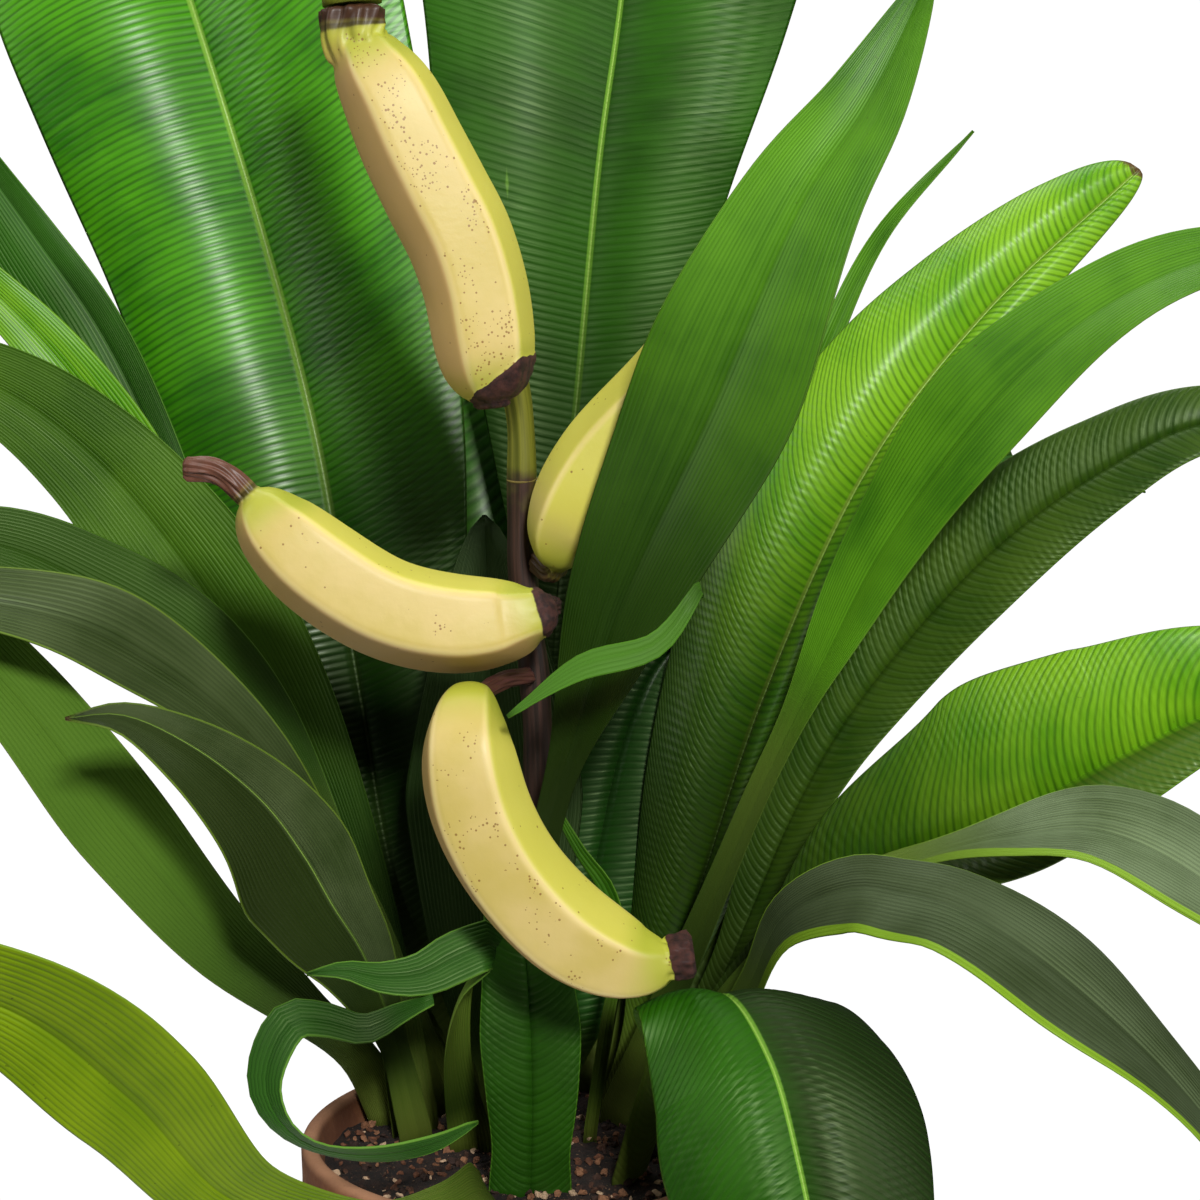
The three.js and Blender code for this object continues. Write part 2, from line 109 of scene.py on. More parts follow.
def blend(tree, share, a, b, mode="MIX"):
    """Colour that goes from a to b as share goes from 0 to 1."""
    settings = {"data_type": "RGBA", "blend_type": mode}
    return add(tree, "ShaderNodeMix", settings, {0: share, 6: a, 7: b}).outputs[2]


def ramp(tree, value, low, high, out_low=0.0, out_high=1.0):
    """Value carried smoothly from the range low..high to out_low..out_high."""
    inputs = {"Value": value, "From Min": low, "From Max": high, "To Min": out_low, "To Max": out_high}
    return add(tree, "ShaderNodeMapRange", {"interpolation_type": "SMOOTHSTEP"}, inputs).outputs["Result"]


def patches(tree, vector, size, detail=3.0, rough=0.55):
    """Soft random pattern from 0 to 1, its patches about size wide in the vector's units."""
    inputs = {"Vector": vector, "Scale": 1 / size, "Detail": detail, "Roughness": rough}
    return add(tree, "ShaderNodeTexNoise", None, inputs).outputs["Fac"]


def here(tree):
    """Place on the piece, in metres."""
    return add(tree, "ShaderNodeTexCoord").outputs["Object"]


def vector_of(tree, x, y, z=0.0):
    """Vector from three numbers or sockets."""
    return add(tree, "ShaderNodeCombineXYZ", None, {0: x, 1: y, 2: z}).outputs[0]


def new_material(name):
    """Material with its node tree and its Principled shader."""
    material = bpy.data.materials.new(name)
    material.use_nodes = True
    return material, material.node_tree, material.node_tree.nodes["Principled BSDF"]


def wire(tree, shader, inputs):
    """Set or link the shader's own sockets."""
    for key, value in inputs.items():
        if isinstance(value, bpy.types.NodeSocket):
            tree.links.new(value, shader.inputs[key])
        else:
            shader.inputs[key].default_value = value


def relief(tree, height, depth):
    """Normal for fine surface relief from a height pattern of 0 to 1 and its depth in metres."""
    return add(tree, "ShaderNodeBump", None, {"Distance": depth, "Height": height}).outputs["Normal"]


# ---- Pieces ----

def new_object(name, points, faces, numbers=None, face_numbers=None):
    """Smooth mesh at the origin with numbers stored on its points and faces."""
    mesh = bpy.data.meshes.new(name)
    mesh.from_pydata(np.asarray(points, float).tolist(), [], faces)
    for key, values in (numbers or {}).items():
        values = np.asarray(values, np.float32)
        kind, field = ("FLOAT", "value") if values.ndim == 1 else ("FLOAT_VECTOR", "vector")
        mesh.attributes.new(key, kind, "POINT").data.foreach_set(field, values.ravel())
    for key, values in (face_numbers or {}).items():
        layer = mesh.attributes.new(key, "FLOAT", "FACE")
        layer.data.foreach_set("value", np.asarray(values, np.float32))
    mesh.shade_smooth()
    thing = bpy.data.objects.new(name, mesh)
    bpy.context.scene.collection.objects.link(thing)
    return thing


def seat(piece, slot, *nodes):
    """Tie a finished piece to the plant's body and hide the plain solids that it stands for; its finish
    (slot) is not used.
    """
    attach(piece, BODY)
    if nodes:
        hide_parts(*nodes)


def new_tree(name, sockets):
    """Geometry tree with the named inputs, with its input and output nodes."""
    tree = bpy.data.node_groups.new(name, "GeometryNodeTree")
    tree.interface.new_socket("Geometry", in_out="INPUT", socket_type="NodeSocketGeometry")
    for label, kind in sockets:
        tree.interface.new_socket(label, in_out="INPUT", socket_type="NodeSocket" + kind)
    tree.interface.new_socket("Geometry", in_out="OUTPUT", socket_type="NodeSocketGeometry")
    return tree, add(tree, "NodeGroupInput"), add(tree, "NodeGroupOutput")


def end_tree(tree, geometry, material, out):
    """Realize what the tree made and give it its material."""
    real = add(tree, "GeometryNodeRealizeInstances", None, {0: geometry})
    painted = add(tree, "GeometryNodeSetMaterial", None, {0: real.outputs[0], "Material": material})
    tree.links.new(painted.outputs[0], out.inputs[0])


def run_tree(thing, tree, values):
    """Put a geometry tree on an object, keep its result as a plain mesh and take the modifier away."""
    modifier = thing.modifiers.new(tree.name, "NODES")
    modifier.node_group = tree
    for item in tree.interface.items_tree:
        if item.in_out == "INPUT" and item.name in values:
            modifier[item.identifier] = values[item.name]
    keep_result(thing)


def keep_result(thing):
    """Turn an object with modifiers into a plain mesh."""
    bpy.context.view_layer.update()
    result = bpy.data.meshes.new_from_object(thing.evaluated_get(bpy.context.evaluated_depsgraph_get()))
    thing.modifiers.clear()
    before = thing.data
    thing.data = result
    bpy.data.meshes.remove(before)
    result.name = thing.name
    if not len(result.polygons):
        raise RuntimeError(f"{thing.name} came out empty")


# ---- Paths ----

def smooth(t, low, high):
    """Smooth step from 0 at low to 1 at high."""
    s = np.clip((t - low) / (high - low), 0, 1)
    return s * s * (3 - 2 * s)


def unit(vectors):
    """Vectors of length 1."""
    return vectors / np.linalg.norm(vectors, axis=-1, keepdims=True if vectors.ndim else False)


def dots(a, b):
    """Dot product of each pair of vectors."""
    return (a * b).sum(-1, keepdims=True)


SEGMENT_STEPS = 150  # points worked out between two points of a spine


def path_of(spine, count):
    """Evenly spaced points and directions along a centripetal curve through a spine, and its length."""
    p = np.asarray(spine, float) * MM
    p = np.vstack([2 * p[0] - p[1], p, 2 * p[-1] - p[-2]])
    step = np.linspace(0, 1, SEGMENT_STEPS, endpoint=False)[:, None]
    runs = []
    for a, b, c, d in zip(p[:-3], p[1:-2], p[2:-1], p[3:]):
        ab, bc, cd = (math.sqrt(np.linalg.norm(q - r)) for q, r in ((b, a), (c, b), (d, c)))
        start = ((b - a) / ab - (c - a) / (ab + bc) + (c - b) / bc) * bc
        end = ((c - b) / bc - (d - b) / (bc + cd) + (d - c) / cd) * bc
        runs.append(b + start * step + (3 * (c - b) - 2 * start - end) * step ** 2
                    + (2 * (b - c) + start + end) * step ** 3)
    dense = np.vstack(runs + [p[-2:-1]])
    run = np.concatenate([[0], np.cumsum(np.linalg.norm(np.diff(dense, axis=0), axis=1))])
    at = np.linspace(0, run[-1], count)
    points = np.stack([np.interp(at, run, dense[:, k]) for k in range(3)], 1)
    return points, unit(np.gradient(points, axis=0)), run[-1]


def along(table, t):
    """Vectors at fractions t of a list of vectors that lie evenly along a leaf."""
    table = np.asarray(table, float)
    knots = np.linspace(0, 1, len(table))
    return np.stack([np.interp(t, knots, table[:, k]) for k in range(3)], 1)


EASE = 0.05  # share of a leaf's length over which the turns of its blade are eased
OUTLINE_EASE = 0.04  # and its outline


def eased(values, reach):
    """Values averaged over a few neighbours along a leaf."""
    width = 2 * max(1, int(reach)) + 1
    padded = np.pad(values, ((width // 2, width // 2), (0, 0)), "edge")
    sums = np.cumsum(np.vstack([np.zeros((1, values.shape[1])), padded]), axis=0)
    return (sums[width:] - sums[:-width]) / width


# ---- Leaves ----

# All sizes in the leaf tables are in mm
STALK_HALF = 6.5  # half width of a leaf stalk
STALK_THICK = 7
FOOT_FLARE = 3.5  # a leaf stalk is wider by this much on each side at its foot
NECK_THICK = 3  # where the blade begins
BLADE_THICK = 1.5
TIP_HALF = 0.8
TORN_HALF = 2.5  # where a torn strip leaves its leaf
TORN_GAP = 2.1
FOOT_SINK = 5  # leaf stalks go this far into the potting mix

# What a leaf has unless its row says otherwise. Its blade starts at the neck and is widest at the peak,
# rise and fall shape its outline, fold lifts its halves, right widens the right one, belly rounds them,
# and wave ripples the edges. Turned is the half that faces away from the light, and crease a thin pale
# fold line beside the midrib. Sweep is how veins lean and bend on either side, and dusk the part of the
# length over which the painted shade at the foot of the leaf fades into its full green. Shade is its share
# of the colour of a half turned away.
LEAF_DEFAULTS = {
    "neck": 0.2, "peak": 0.5, "rise": 0.65, "fall": 0.6, "fold": 8, "right": 1.0, "stalk": STALK_HALF,
    "look": "fresh", "cross": False, "belly": 0.06, "wave": 1.2, "rib": 0, "turned": 0, "crease": None,
    "rooted": True, "sweep": ((0.3, 0.45), (0.3, 0.45)), "dusk": (0.1, 0.45), "shade": 0,
    "spacing": 1,
}

LEAVES = {
    "leaf_back_left": {
        "wide": 188, "neck": 0.12, "peak": 0.76, "rise": 0.52, "fall": 0.45, "right": 1.14,
        "look": "glossy", "dusk": (0.3, 0.6), "cross": True, "belly": 0.13, "rib": 6.5,
        "sweep": ((0.02, -0.15), (0.2, 0.15)),
        "spine": [[-16, 70, 169], [-64, 85, 263], [-83, 96, 358], [-103, 112, 476], [-127, 130, 566],
                  [-165, 145, 689], [-206, 180, 800], [-226, 205, 850]],
        "across": [[1, 0, 0], [1, -0.1, 0], [1, 0, 0.2]],
    },
    "leaf_back_centre": {
        "wide": 228, "neck": 0.3, "peak": 0.8, "rise": 0.8, "fall": 0.45, "right": 0.84,
        "look": "even", "dusk": (0.3, 0.75), "cross": True, "belly": 0.1, "rib": 5,
        "sweep": ((0.1, 0.05), (0.12, 0.1)),
        "crease": -42,
        "spine": [[4, 68, 169], [5, 86, 300], [10, 100, 400], [20, 112, 500], [31, 122, 615],
                  [41, 135, 687], [52, 158, 800], [56, 172, 850]],
        "across": [[1, 0, 0], [1, 0, 0], [1, 0, -0.1]],
    },
    "leaf_front_upright": {
        "wide": 73, "neck": 0.35, "peak": 0.5, "rise": 0.55, "fall": 0.7, "fold": 12, "look": "fresh",
        "dusk": (0.5, 0.84),
        "spine": [[3, -26, 169], [4, -32, 300], [34, -66, 412], [47, -76, 445], [73, -84, 502],
                  [110, -90, 588], [134, -88, 625], [160, -80, 678]],
        "across": [[1, -0.2, 0], [1, -0.3, -0.3], [1, -0.4, -0.5]],
    },
    "leaf_spike": {
        "wide": 16, "neck": 0.3, "fold": 25, "look": "fresh",
        "spine": [[42, 74, 169], [72, 90, 340], [135, 98, 520], [163, 103, 577], [205, 106, 625]],
        "across": [[1, 0, -0.4], [1, -0.4, -0.6]],
    },
    "leaf_right_glossy": {
        "wide": 114, "neck": 0.08, "peak": 0.5, "rise": 0.5, "fall": 0.42, "right": 0.5,
        "look": "lime", "cross": True, "belly": 0.24, "rib": 4, "sweep": ((0.1, 1.0), (0.3, 0.4)),
        "dusk": (0.25, 0.75),
        "spine": [[40, 56, 169], [72, 52, 260], [106, 50, 367], [153, 55, 472], [205, 65, 540],
                  [276, 75, 606]],
        "across": [[1, -0.3, -0.2], [1, -0.5, -0.6], [0.6, -0.6, -1]],
    },
    "leaf_right_edge_on": {
        "wide": 56, "neck": 0.35, "peak": 0.5, "rise": 0.7, "fold": 10, "look": "fresh",
        "spine": [[38, 36, 169], [80, 20, 276], [104, 12, 337], [129, 2, 393], [153, -7, 444],
                  [198, -22, 510], [238, -30, 545], [276, -38, 564], [345, -50, 576]],
        "across": [[0.8, -0.6, 0], [0.8, -0.8, -0.5], [0.4, -0.8, -0.7]],
    },
    "leaf_right_shaded": {
        "wide": 62, "neck": 0.15, "peak": 0.55, "rise": 0.6, "right": 0.84, "look": "dark",
        "cross": True,
        "spine": [[57, 40, 169], [94, 26, 260], [121, 23, 326], [147, 20, 372], [202, 15, 438],
                  [248, 10, 474], [290, 5, 495], [365, 0, 495]],
        "across": [[0.8, -0.6, 0], [0.8, -0.5, -0.7], [0.3, -0.6, -1]],
    },
    "leaf_right_bright": {
        "wide": 122, "neck": 0.3, "peak": 0.45, "rise": 0.7, "fall": 0.6, "fold": 26, "right": 0.6,
        "look": "lime", "dusk": (0.35, 0.8), "cross": True, "belly": 0.12, "turned": 1,
        "spine": [[60, 18, 169], [95, -8, 255], [142, -25, 303], [200, -40, 332], [248, -52, 362],
                  [290, -60, 383], [350, -68, 385]],
        "across": [[0.8, -0.6, 0], [0.3, -0.5, -0.85], [0.2, -0.5, -0.85]],
    },
    "leaf_right_arching": {
        "wide": 68, "neck": 0.48, "peak": 0.5, "rise": 1, "look": "banded",
        "spine": [[46, 6, 169], [91, -30, 256], [133, -58, 307], [166, -72, 325], [196, -84, 335],
                  [230, -95, 340], [268, -105, 323], [302, -112, 288], [326, -116, 240]],
        "across": [[0.6, -0.8, 0], [0.2, -0.9, -0.5], [-0.2, -0.8, -0.5], [-0.3, -0.8, -0.2]],
    },
    "leaf_right_drooping": {
        "wide": 50, "neck": 0.22, "peak": 0.55, "rise": 0.8, "right": 1.6, "look": "banded", "shade": 0.7,
        "spine": [[64, -2, 169], [94, -48, 262], [108, -62, 296], [133, -80, 313], [151, -92, 314],
                  [173, -106, 311], [205, -126, 294], [259, -150, 244], [300, -165, 175]],
        "across": [[0.6, -0.8, 0], [0.5, -0.8, -0.5], [-0.2, -0.8, -0.4], [-0.3, -0.8, 0]],
    },
    "leaf_over_rim": {
        "wide": 112, "neck": 0.2, "peak": 0.45, "rise": 0.4, "fall": 0.5, "fold": -14,
        "look": "even", "cross": True, "dusk": (0, 0.2), "turned": -1, "rib": 3.5, "belly": 0.14,
        "spine": [[44, -28, 169], [62, -48, 235], [82, -84, 268], [98, -118, 252], [108, -142, 218],
                  [116, -158, 175], [122, -165, 120], [124, -166, 75]],
        "across": [[-0.6, -0.6, 0], [-1, 0.1, 0], [-1, 0.1, 0.1], [-1, 0.1, 0.1]],
    },
    "leaf_centre_strap": {
        "wide": 44, "neck": 0.02, "peak": 0.4, "rise": 0.2, "fall": 0.5, "fold": 6, "stalk": 18,
        "look": "even", "cross": True, "dusk": (0, 0.03), "shade": 0.3,
        "spine": [[1, -44, 169], [2, -46, 219], [0, -44, 267], [-5, -40, 305], [-15, -36, 343]],
        "across": [[1, 0, 0], [1, 0, 0]],
    },
    "leaf_heart": {
        "wide": 74, "neck": 0.1, "peak": 0.65, "rise": 0.4, "fall": 0.5, "fold": -6, "look": "waxy",
        "cross": True, "sweep": ((-0.35, 0), (0.35, 0)), "dusk": (0, 0.3), "belly": 0.12,
        "spine": [[8, 46, 169], [20, 58, 246], [30, 66, 291], [40, 71, 336], [54, 73, 372],
                  [70, 74, 392]],
        "across": [[1, 0, 0], [1, -0.2, -0.2], [0.9, -0.2, -0.6]],
    },
    "leaf_young": {
        "wide": 8, "neck": 0.35, "stalk": 3, "fold": 6, "look": "fresh", "dusk": (0, 0.6),
        "spine": [[26, 16, 169], [34, 14, 225], [40, 12, 262], [34, 10, 288], [22, 8, 306], [6, 6, 336]],
        "across": [[1, 0, 0], [0.9, 0, 0.3], [0.8, 0, 0.6]],
    },
    "leaf_middle": {
        "wide": 84, "neck": 0.1, "peak": 0.5, "rise": 0.4, "fall": 0.6, "look": "dark", "dusk": (1, 2),
        "spine": [[-14, 34, 169], [-17, 42, 250], [-18, 50, 330], [-20, 56, 400], [-22, 62, 450]],
        "across": [[1, 0, 0], [1, 0.2, 0]],
    },
    "leaf_torn_tongue": {
        "wide": 23, "neck": 0.5, "peak": 0.4, "rise": 0.3, "fall": 0.7, "fold": 4, "look": "torn",
        "spine": [[-26, 4, 169], [-31, -30, 225], [-24, -57, 266], [-12, -66, 285], [-27, -70, 281],
                  [-42, -76, 275], [-59, -80, 275], [-73, -83, 279], [-88, -85, 278]],
        "across": [[1, 0, 0], [0.6, 0.3, 0.4], [0.2, 0.6, 0.8], [0, 0.5, 0.8]],
    },
    "leaf_near_left": {
        "wide": 44, "neck": 0.25, "peak": 0.45, "rise": 0.5, "fall": 0.7, "right": 1.28,
        "look": "sunlit", "dusk": (0, 0.2),
        "spine": [[-12, -50, 169], [-19, -80, 184], [-25, -97, 187], [-33, -116, 191],
                  [-62, -165, 206], [-101, -205, 232], [-130, -236, 281], [-166, -262, 322],
                  [-235, -290, 345], [-310, -305, 330]],
        "across": [[-0.7, 0, 0.7], [0.6, 0.2, 0.8], [0.7, 0, 0.7], [0.4, 0.2, 0.8]],
    },
    "leaf_left_strap": {
        "wide": 46, "neck": 0.13, "peak": 0.4, "rise": 0.35, "fall": 0.5, "fold": 5, "look": "olive",
        "spine": [[-66, 40, 169], [-80, 39, 199], [-108, 35, 226], [-140, 28, 257], [-181, 15, 314],
                  [-225, 5, 379], [-266, -5, 425], [-340, -15, 458]],
        "across": [[-0.7, 0, -0.7], [-0.7, -0.2, -0.7], [-0.4, -0.4, -0.8]],
    },
    "leaf_left_rolled_tip": {
        "wide": 78, "neck": 0.16, "peak": 0.45, "rise": 0.6, "fall": 0.8, "fold": 10, "right": 0.6,
        "look": "grey", "turned": -1, "rib": 1.6,
        "spine": [[-50, 14, 169], [-62, 16, 218], [-75, 10, 258], [-87, 0, 283], [-98, -10, 308],
                  [-114, -24, 336], [-141, -42, 364], [-167, -54, 379], [-188, -62, 379]],
        "across": [[0.8, 0.4, 0.2], [0.7, 0.4, 0.6], [0.2, 0.6, 0.7]],
    },
    "leaf_left_grey": {
        "wide": 36, "neck": 0.3, "peak": 0.5, "right": 1.3, "look": "grey", "shade": 0.4,
        "spine": [[-55, 27, 169], [-70, 35, 251], [-96, 28, 310], [-126, 12, 357], [-164, -2, 392],
                  [-200, -15, 413], [-262, -32, 424], [-320, -42, 408]],
        "across": [[0.8, 0.4, 0.2], [0.5, 0.5, 0.7], [0.2, 0.7, 0.6]],
    },
    "leaf_left_dark": {
        "wide": 50, "neck": 0.3, "peak": 0.5, "look": "satin", "shade": 1,
        "spine": [[-53, 39, 169], [-80, 47, 272], [-115, 46, 346], [-149, 38, 389], [-192, 28, 420],
                  [-233, 18, 441], [-312, -5, 450]],
        "across": [[0.8, 0.4, 0.2], [0.6, 0.4, 0.7], [0.3, 0.6, 0.7]],
    },
    "leaf_left_broad": {
        "wide": 70, "neck": 0.08, "peak": 0.5, "rise": 0.6, "look": "satin",
        "spine": [[-48, 50, 169], [-82, 57, 269], [-122, 62, 364], [-166, 62, 436], [-201, 60, 478],
                  [-240, 56, 508], [-320, 42, 538]],
        "across": [[0.9, 0, 0.2], [0.8, 0.1, 0.6], [0.6, 0.3, 0.8]],
    },
    "leaf_left_narrow": {
        "wide": 36, "neck": 0.3, "peak": 0.5, "look": "lime",
        "spine": [[-42, 59, 169], [-86, 67, 277], [-137, 71, 372], [-186, 76, 474], [-218, 78, 520],
                  [-246, 78, 550], [-305, 74, 605]],
        "across": [[0.9, 0, 0.3], [0.8, 0.1, 0.6], [0.7, 0.2, 0.7]],
    },
    "leaf_left_high": {
        "wide": 54, "neck": 0.35, "peak": 0.5, "right": 0.5, "look": "even",
        "spine": [[-33, 67, 169], [-86, 76, 266], [-132, 86, 360], [-176, 98, 475], [-204, 103, 533],
                  [-234, 106, 577], [-268, 108, 626], [-308, 110, 690]],
        "across": [[0.9, 0, 0.3], [0.9, 0, 0.5], [0.9, 0, 0.5]],
    },
}

# Leaves that fan out at the back: foot, heading in degrees from +X towards +Y, reach and height of the
# arch, how much of that height the tip keeps, and width
FAN_LEAVES = [
    ([-41, 77], 123, 270, 380, 0.8, 80),
    ([-22, 84], 108, 250, 420, 0.8, 96),
    ([14, 85], 88, 270, 370, 0.7, 90),
    ([29, 80], 62, 250, 340, 0.7, 66),
    ([56, 64], 40, 265, 320, 0.75, 84),
    ([70, 46], 20, 240, 300, 0.95, 44),
]
ARCH = [[0, 0], [0.12, 0.45], [0.38, 0.85], [0.7, 1]]  # shares of reach and height

# Strips torn from a leaf's edge: the leaf, the fraction of its length, the side, and the points passed
TORN_STRIPS = {
    "leaf_curled_lip": {
        "parent": "leaf_front_upright", "at": 0.53, "side": 1, "wide": 12, "peak": 0.6, "rise": 0.5,
        "fold": 4, "look": "even", "dusk": (0, 0.3),
        "spine": [[70, -98, 438], [53, -106, 417], [23, -108, 408], [-5, -110, 389]],
        "across": [[0, -0.3, -0.8], [0, -0.5, -0.8], [0, -0.5, -0.8]],
    },
    "leaf_torn_loop": {
        "parent": "leaf_torn_tongue", "at": 0.78, "side": -1, "wide": 20, "peak": 0.4, "rise": 0.4,
        "fall": 0.4, "fold": 3, "look": "torn",
        "spine": [[-52, -79, 259], [-65, -82, 254], [-80, -86, 259], [-93, -92, 261],
                  [-101, -97, 249], [-103, -100, 235], [-96, -104, 222], [-83, -107, 214],
                  [-60, -106, 210], [-37, -100, 212], [-19, -86, 216]],
        "across": [[0, 0.5, 0.8], [-0.4, 0.6, 0.7], [-0.8, 0.6, 0], [-0.3, 0.6, -0.7], [0, 0.5, -0.8]],
    },
}


def stations(leaf, count):
    """Centre, directions and sizes in metres at evenly spaced fractions t of a leaf."""
    centre, tangent, length = path_of(leaf["spine"], count)
    t = np.linspace(0, 1, count)
    across = eased(along(leaf["across"], t), EASE * count)
    across = unit(across - dots(across, tangent) * tangent)
    neck, peak = leaf["neck"], leaf["peak"]
    s = np.clip((t - neck) / (1 - neck), 0, 1)
    blade = np.where(s < peak, (s / peak) ** leaf["rise"], ((1 - s) / (1 - peak)) ** leaf["fall"])
    half = np.maximum(leaf["stalk"] + (TIP_HALF - leaf["stalk"]) * s, leaf["wide"] / 2 * blade)
    half = np.where(t < neck, leaf["stalk"], half)
    half = half + FOOT_FLARE * leaf["rooted"] * (leaf["stalk"] == STALK_HALF) * (1 - smooth(t, 0, 0.3))
    soft = eased(eased(half[:, None], OUTLINE_EASE * count), OUTLINE_EASE * count)[:, 0]
    half = half + (soft - half) * smooth(1 - t, 0.02, 0.12)
    stalk = STALK_THICK + (NECK_THICK - STALK_THICK) * t / max(neck, MM)
    thick = np.where(t < neck, stalk, NECK_THICK + (BLADE_THICK - NECK_THICK) * t)
    fold = math.radians(leaf["fold"]) * smooth(t, 0, neck + 0.1)
    return {
        "t": t[:, None], "centre": centre, "across": across, "face": np.cross(across, tangent),
        "half": half[:, None] * MM, "thick": thick[:, None] * MM, "fold": fold[:, None], "length": length,
    }


def fan_leaf(foot, heading, reach, height, droop, wide):
    """Leaf of the back fan, arching out and away."""
    cos, sin = math.cos(math.radians(heading)), math.sin(math.radians(heading))
    base = SOIL_BOX[1].z / MM
    spine = [[foot[0] + out * reach * cos, foot[1] + out * reach * sin, base + up * height]
             for out, up in ARCH + [[1, droop]]]
    return {"wide": wide, "spine": spine, "neck": 0.3, "look": "glossy", "cross": True, "belly": 0.1,
            "rib": 3, "spacing": 2, "across": [[1, 0, 0], [sin, -cos, 0], [sin, -cos, 0]]}


PARENT_STEPS = 400


def torn_strip(strip, leaves):
    """Strip that starts just off its leaf's edge."""
    at = stations(leaves[strip["parent"]], PARENT_STEPS + 1)
    k = round(strip["at"] * PARENT_STEPS)
    half, fold = at["half"][k], at["fold"][k]
    start = at["centre"][k] + at["across"][k] * strip["side"] * (half * math.cos(fold[0]) + TORN_GAP * MM)
    start = start + at["face"][k] * half * math.sin(fold[0])
    spine = [(start / MM).tolist()] + strip["spine"]
    return {**strip, "spine": spine, "neck": 0, "stalk": TORN_HALF, "rooted": False}


def all_leaves():
    """Every leaf by name, with what its row leaves out."""
    leaves = {name: {**LEAF_DEFAULTS, **leaf} for name, leaf in LEAVES.items()}
    for index, row in enumerate(FAN_LEAVES):
        leaves[f"leaf_fan_{index + 1}"] = {**LEAF_DEFAULTS, **fan_leaf(*row)}
    for name, strip in TORN_STRIPS.items():
        leaves[name] = {**LEAF_DEFAULTS, **torn_strip(strip, leaves)}
    return leaves


OUTER_COLUMNS = 7  # between the midrib and the edge of a cross-veined half
RIM_START = 0.98  # share of the half width where the blade's edge begins to thin
RIB_PLACES = (0.5, 1.0, 1.5)  # columns beside the middle of the midrib, in half widths of the midrib
RIB_TAPER = 0.6
NO_CREASE = 999  # distance in mm to the crease of a leaf that has none
NO_RIB = 9  # added to the distance from the midrib on a strip that has none
LINE_COLUMNS = 3  # columns to a line on a leaf with lengthwise lines
ROWS_PER_VEIN = 4
DUSK_START = (0.03, 0.15)  # below this part of its length the painted shade at the foot of a leaf fades out again
LINE_ROW = 6  # distance between rows of a leaf with lengthwise lines, in mm


def rib_half(leaf, at):
    """Half width of the midrib along a leaf, in metres."""
    return max(leaf["rib"], 0.4) * MM / 2 * (1 - RIB_TAPER * at["t"])


def side_places(leaf, at, line_spacing):
    """Places across each row, from -1 at the left edge to 1 at the right edge."""
    if leaf["cross"]:
        inner = np.minimum(rib_half(leaf, at) / at["half"], 0.4) * np.array([RIB_PLACES])
        step = np.linspace(0, 1, OUTER_COLUMNS + 1)[1:]
        outer = inner[:, -1:] + (RIM_START - inner[:, -1:]) * step
        half = np.hstack([inner, outer, np.ones_like(at["t"])])
    else:
        count = max(4, round(LINE_COLUMNS * leaf["wide"] / 2 * MM / line_spacing))
        half = np.append(np.arange(1, count) / count, [RIM_START, 1])[None, :] * np.ones_like(at["t"])
    return np.hstack([-half[:, ::-1], np.zeros_like(at["t"]), half])


BLADE_HALF = 0.35  # half of a blade's thickness, in mm
RIPPLE_LENGTH = 0.11  # metres from one ripple of an edge to the next
RIB_TOP = ([0, 0.5, 1, 1.5], [-0.25, 0.1, 0.2, 0])  # height over the blade at half widths of the midrib
RIB_UNDER = ([0, 0.5, 1, 1.5], [1.1, 0.9, 0.35, 0])


def blade_heights(leaf, at, side, out, shifts):
    """Heights of the upper and lower skins over the plane of each row, in metres."""
    t, half = at["t"], at["half"]
    edge = np.abs(side)
    neck = leaf["neck"]
    bladed = smooth(t, neck - 0.04, neck + 0.12) if neck > 0.03 else np.ones_like(t)
    swell = leaf["belly"] * half * np.sin(math.pi * edge ** 0.8)
    phase = shifts[0] + np.where(side > 0, shifts[1], 0)
    ripple = np.sin(2 * math.pi * t * at["length"] / RIPPLE_LENGTH + phase)
    ripple = leaf["wave"] * MM * ripple * edge ** 2 * smooth(1 - t, 0, 0.15)
    lift = out * np.sin(at["fold"]) + bladed * (swell + ripple)
    stalk = at["thick"] / 2
    stalk_top = stalk * (0.75 * side ** 2 - 0.35)
    stalk_low = stalk * (0.4 - 1.4 * np.sqrt(1 - side ** 2))
    thin = BLADE_HALF * MM * np.minimum(1, (1 - edge) / (1 - RIM_START))
    across_rib = out / rib_half(leaf, at)
    crest = rib_half(leaf, at) * (leaf["rib"] > 0) * smooth(1 - t, 0, 0.05)
    top = lift + (1 - bladed) * stalk_top + bladed * (thin + crest * np.interp(across_rib, *RIB_TOP))
    low = lift + (1 - bladed) * stalk_low - bladed * (thin + crest * np.interp(across_rib, *RIB_UNDER))
    return top, low, bladed, across_rib


def shell(upper, lower):
    """Points and faces of a closed skin over two grids that share their edges, and which faces are upper."""
    count, n = upper.shape[:2]
    size = 2 * n - 2
    points = np.concatenate([upper, lower[:, 1:-1][:, ::-1]], axis=1).reshape(-1, 3)
    grid = np.arange(count * size).reshape(count, size)
    beside = np.roll(grid, -1, axis=1)
    faces = np.stack([grid[:-1], beside[:-1], beside[1:], grid[1:]], -1).reshape(-1, 4).tolist()
    over = np.tile(np.repeat([1.0, 0.0], n - 1), count - 1)
    for row in (0, count - 1):
        for k in range(n - 1):
            ring = [k, (size - k) % size, size - k - 1, k + 1]
            corners = [int(grid[row, j]) for j in dict.fromkeys(ring)]
            faces.append(corners if row == 0 else corners[::-1])
    return points, faces, np.concatenate([over, np.ones(2 * (n - 1))])


def spread(values, shape):
    """Numbers of a grid, repeated for the points of both skins."""
    values = np.broadcast_to(values, shape)
    return np.concatenate([values, values[:, 1:-1][:, ::-1]], axis=1).ravel()


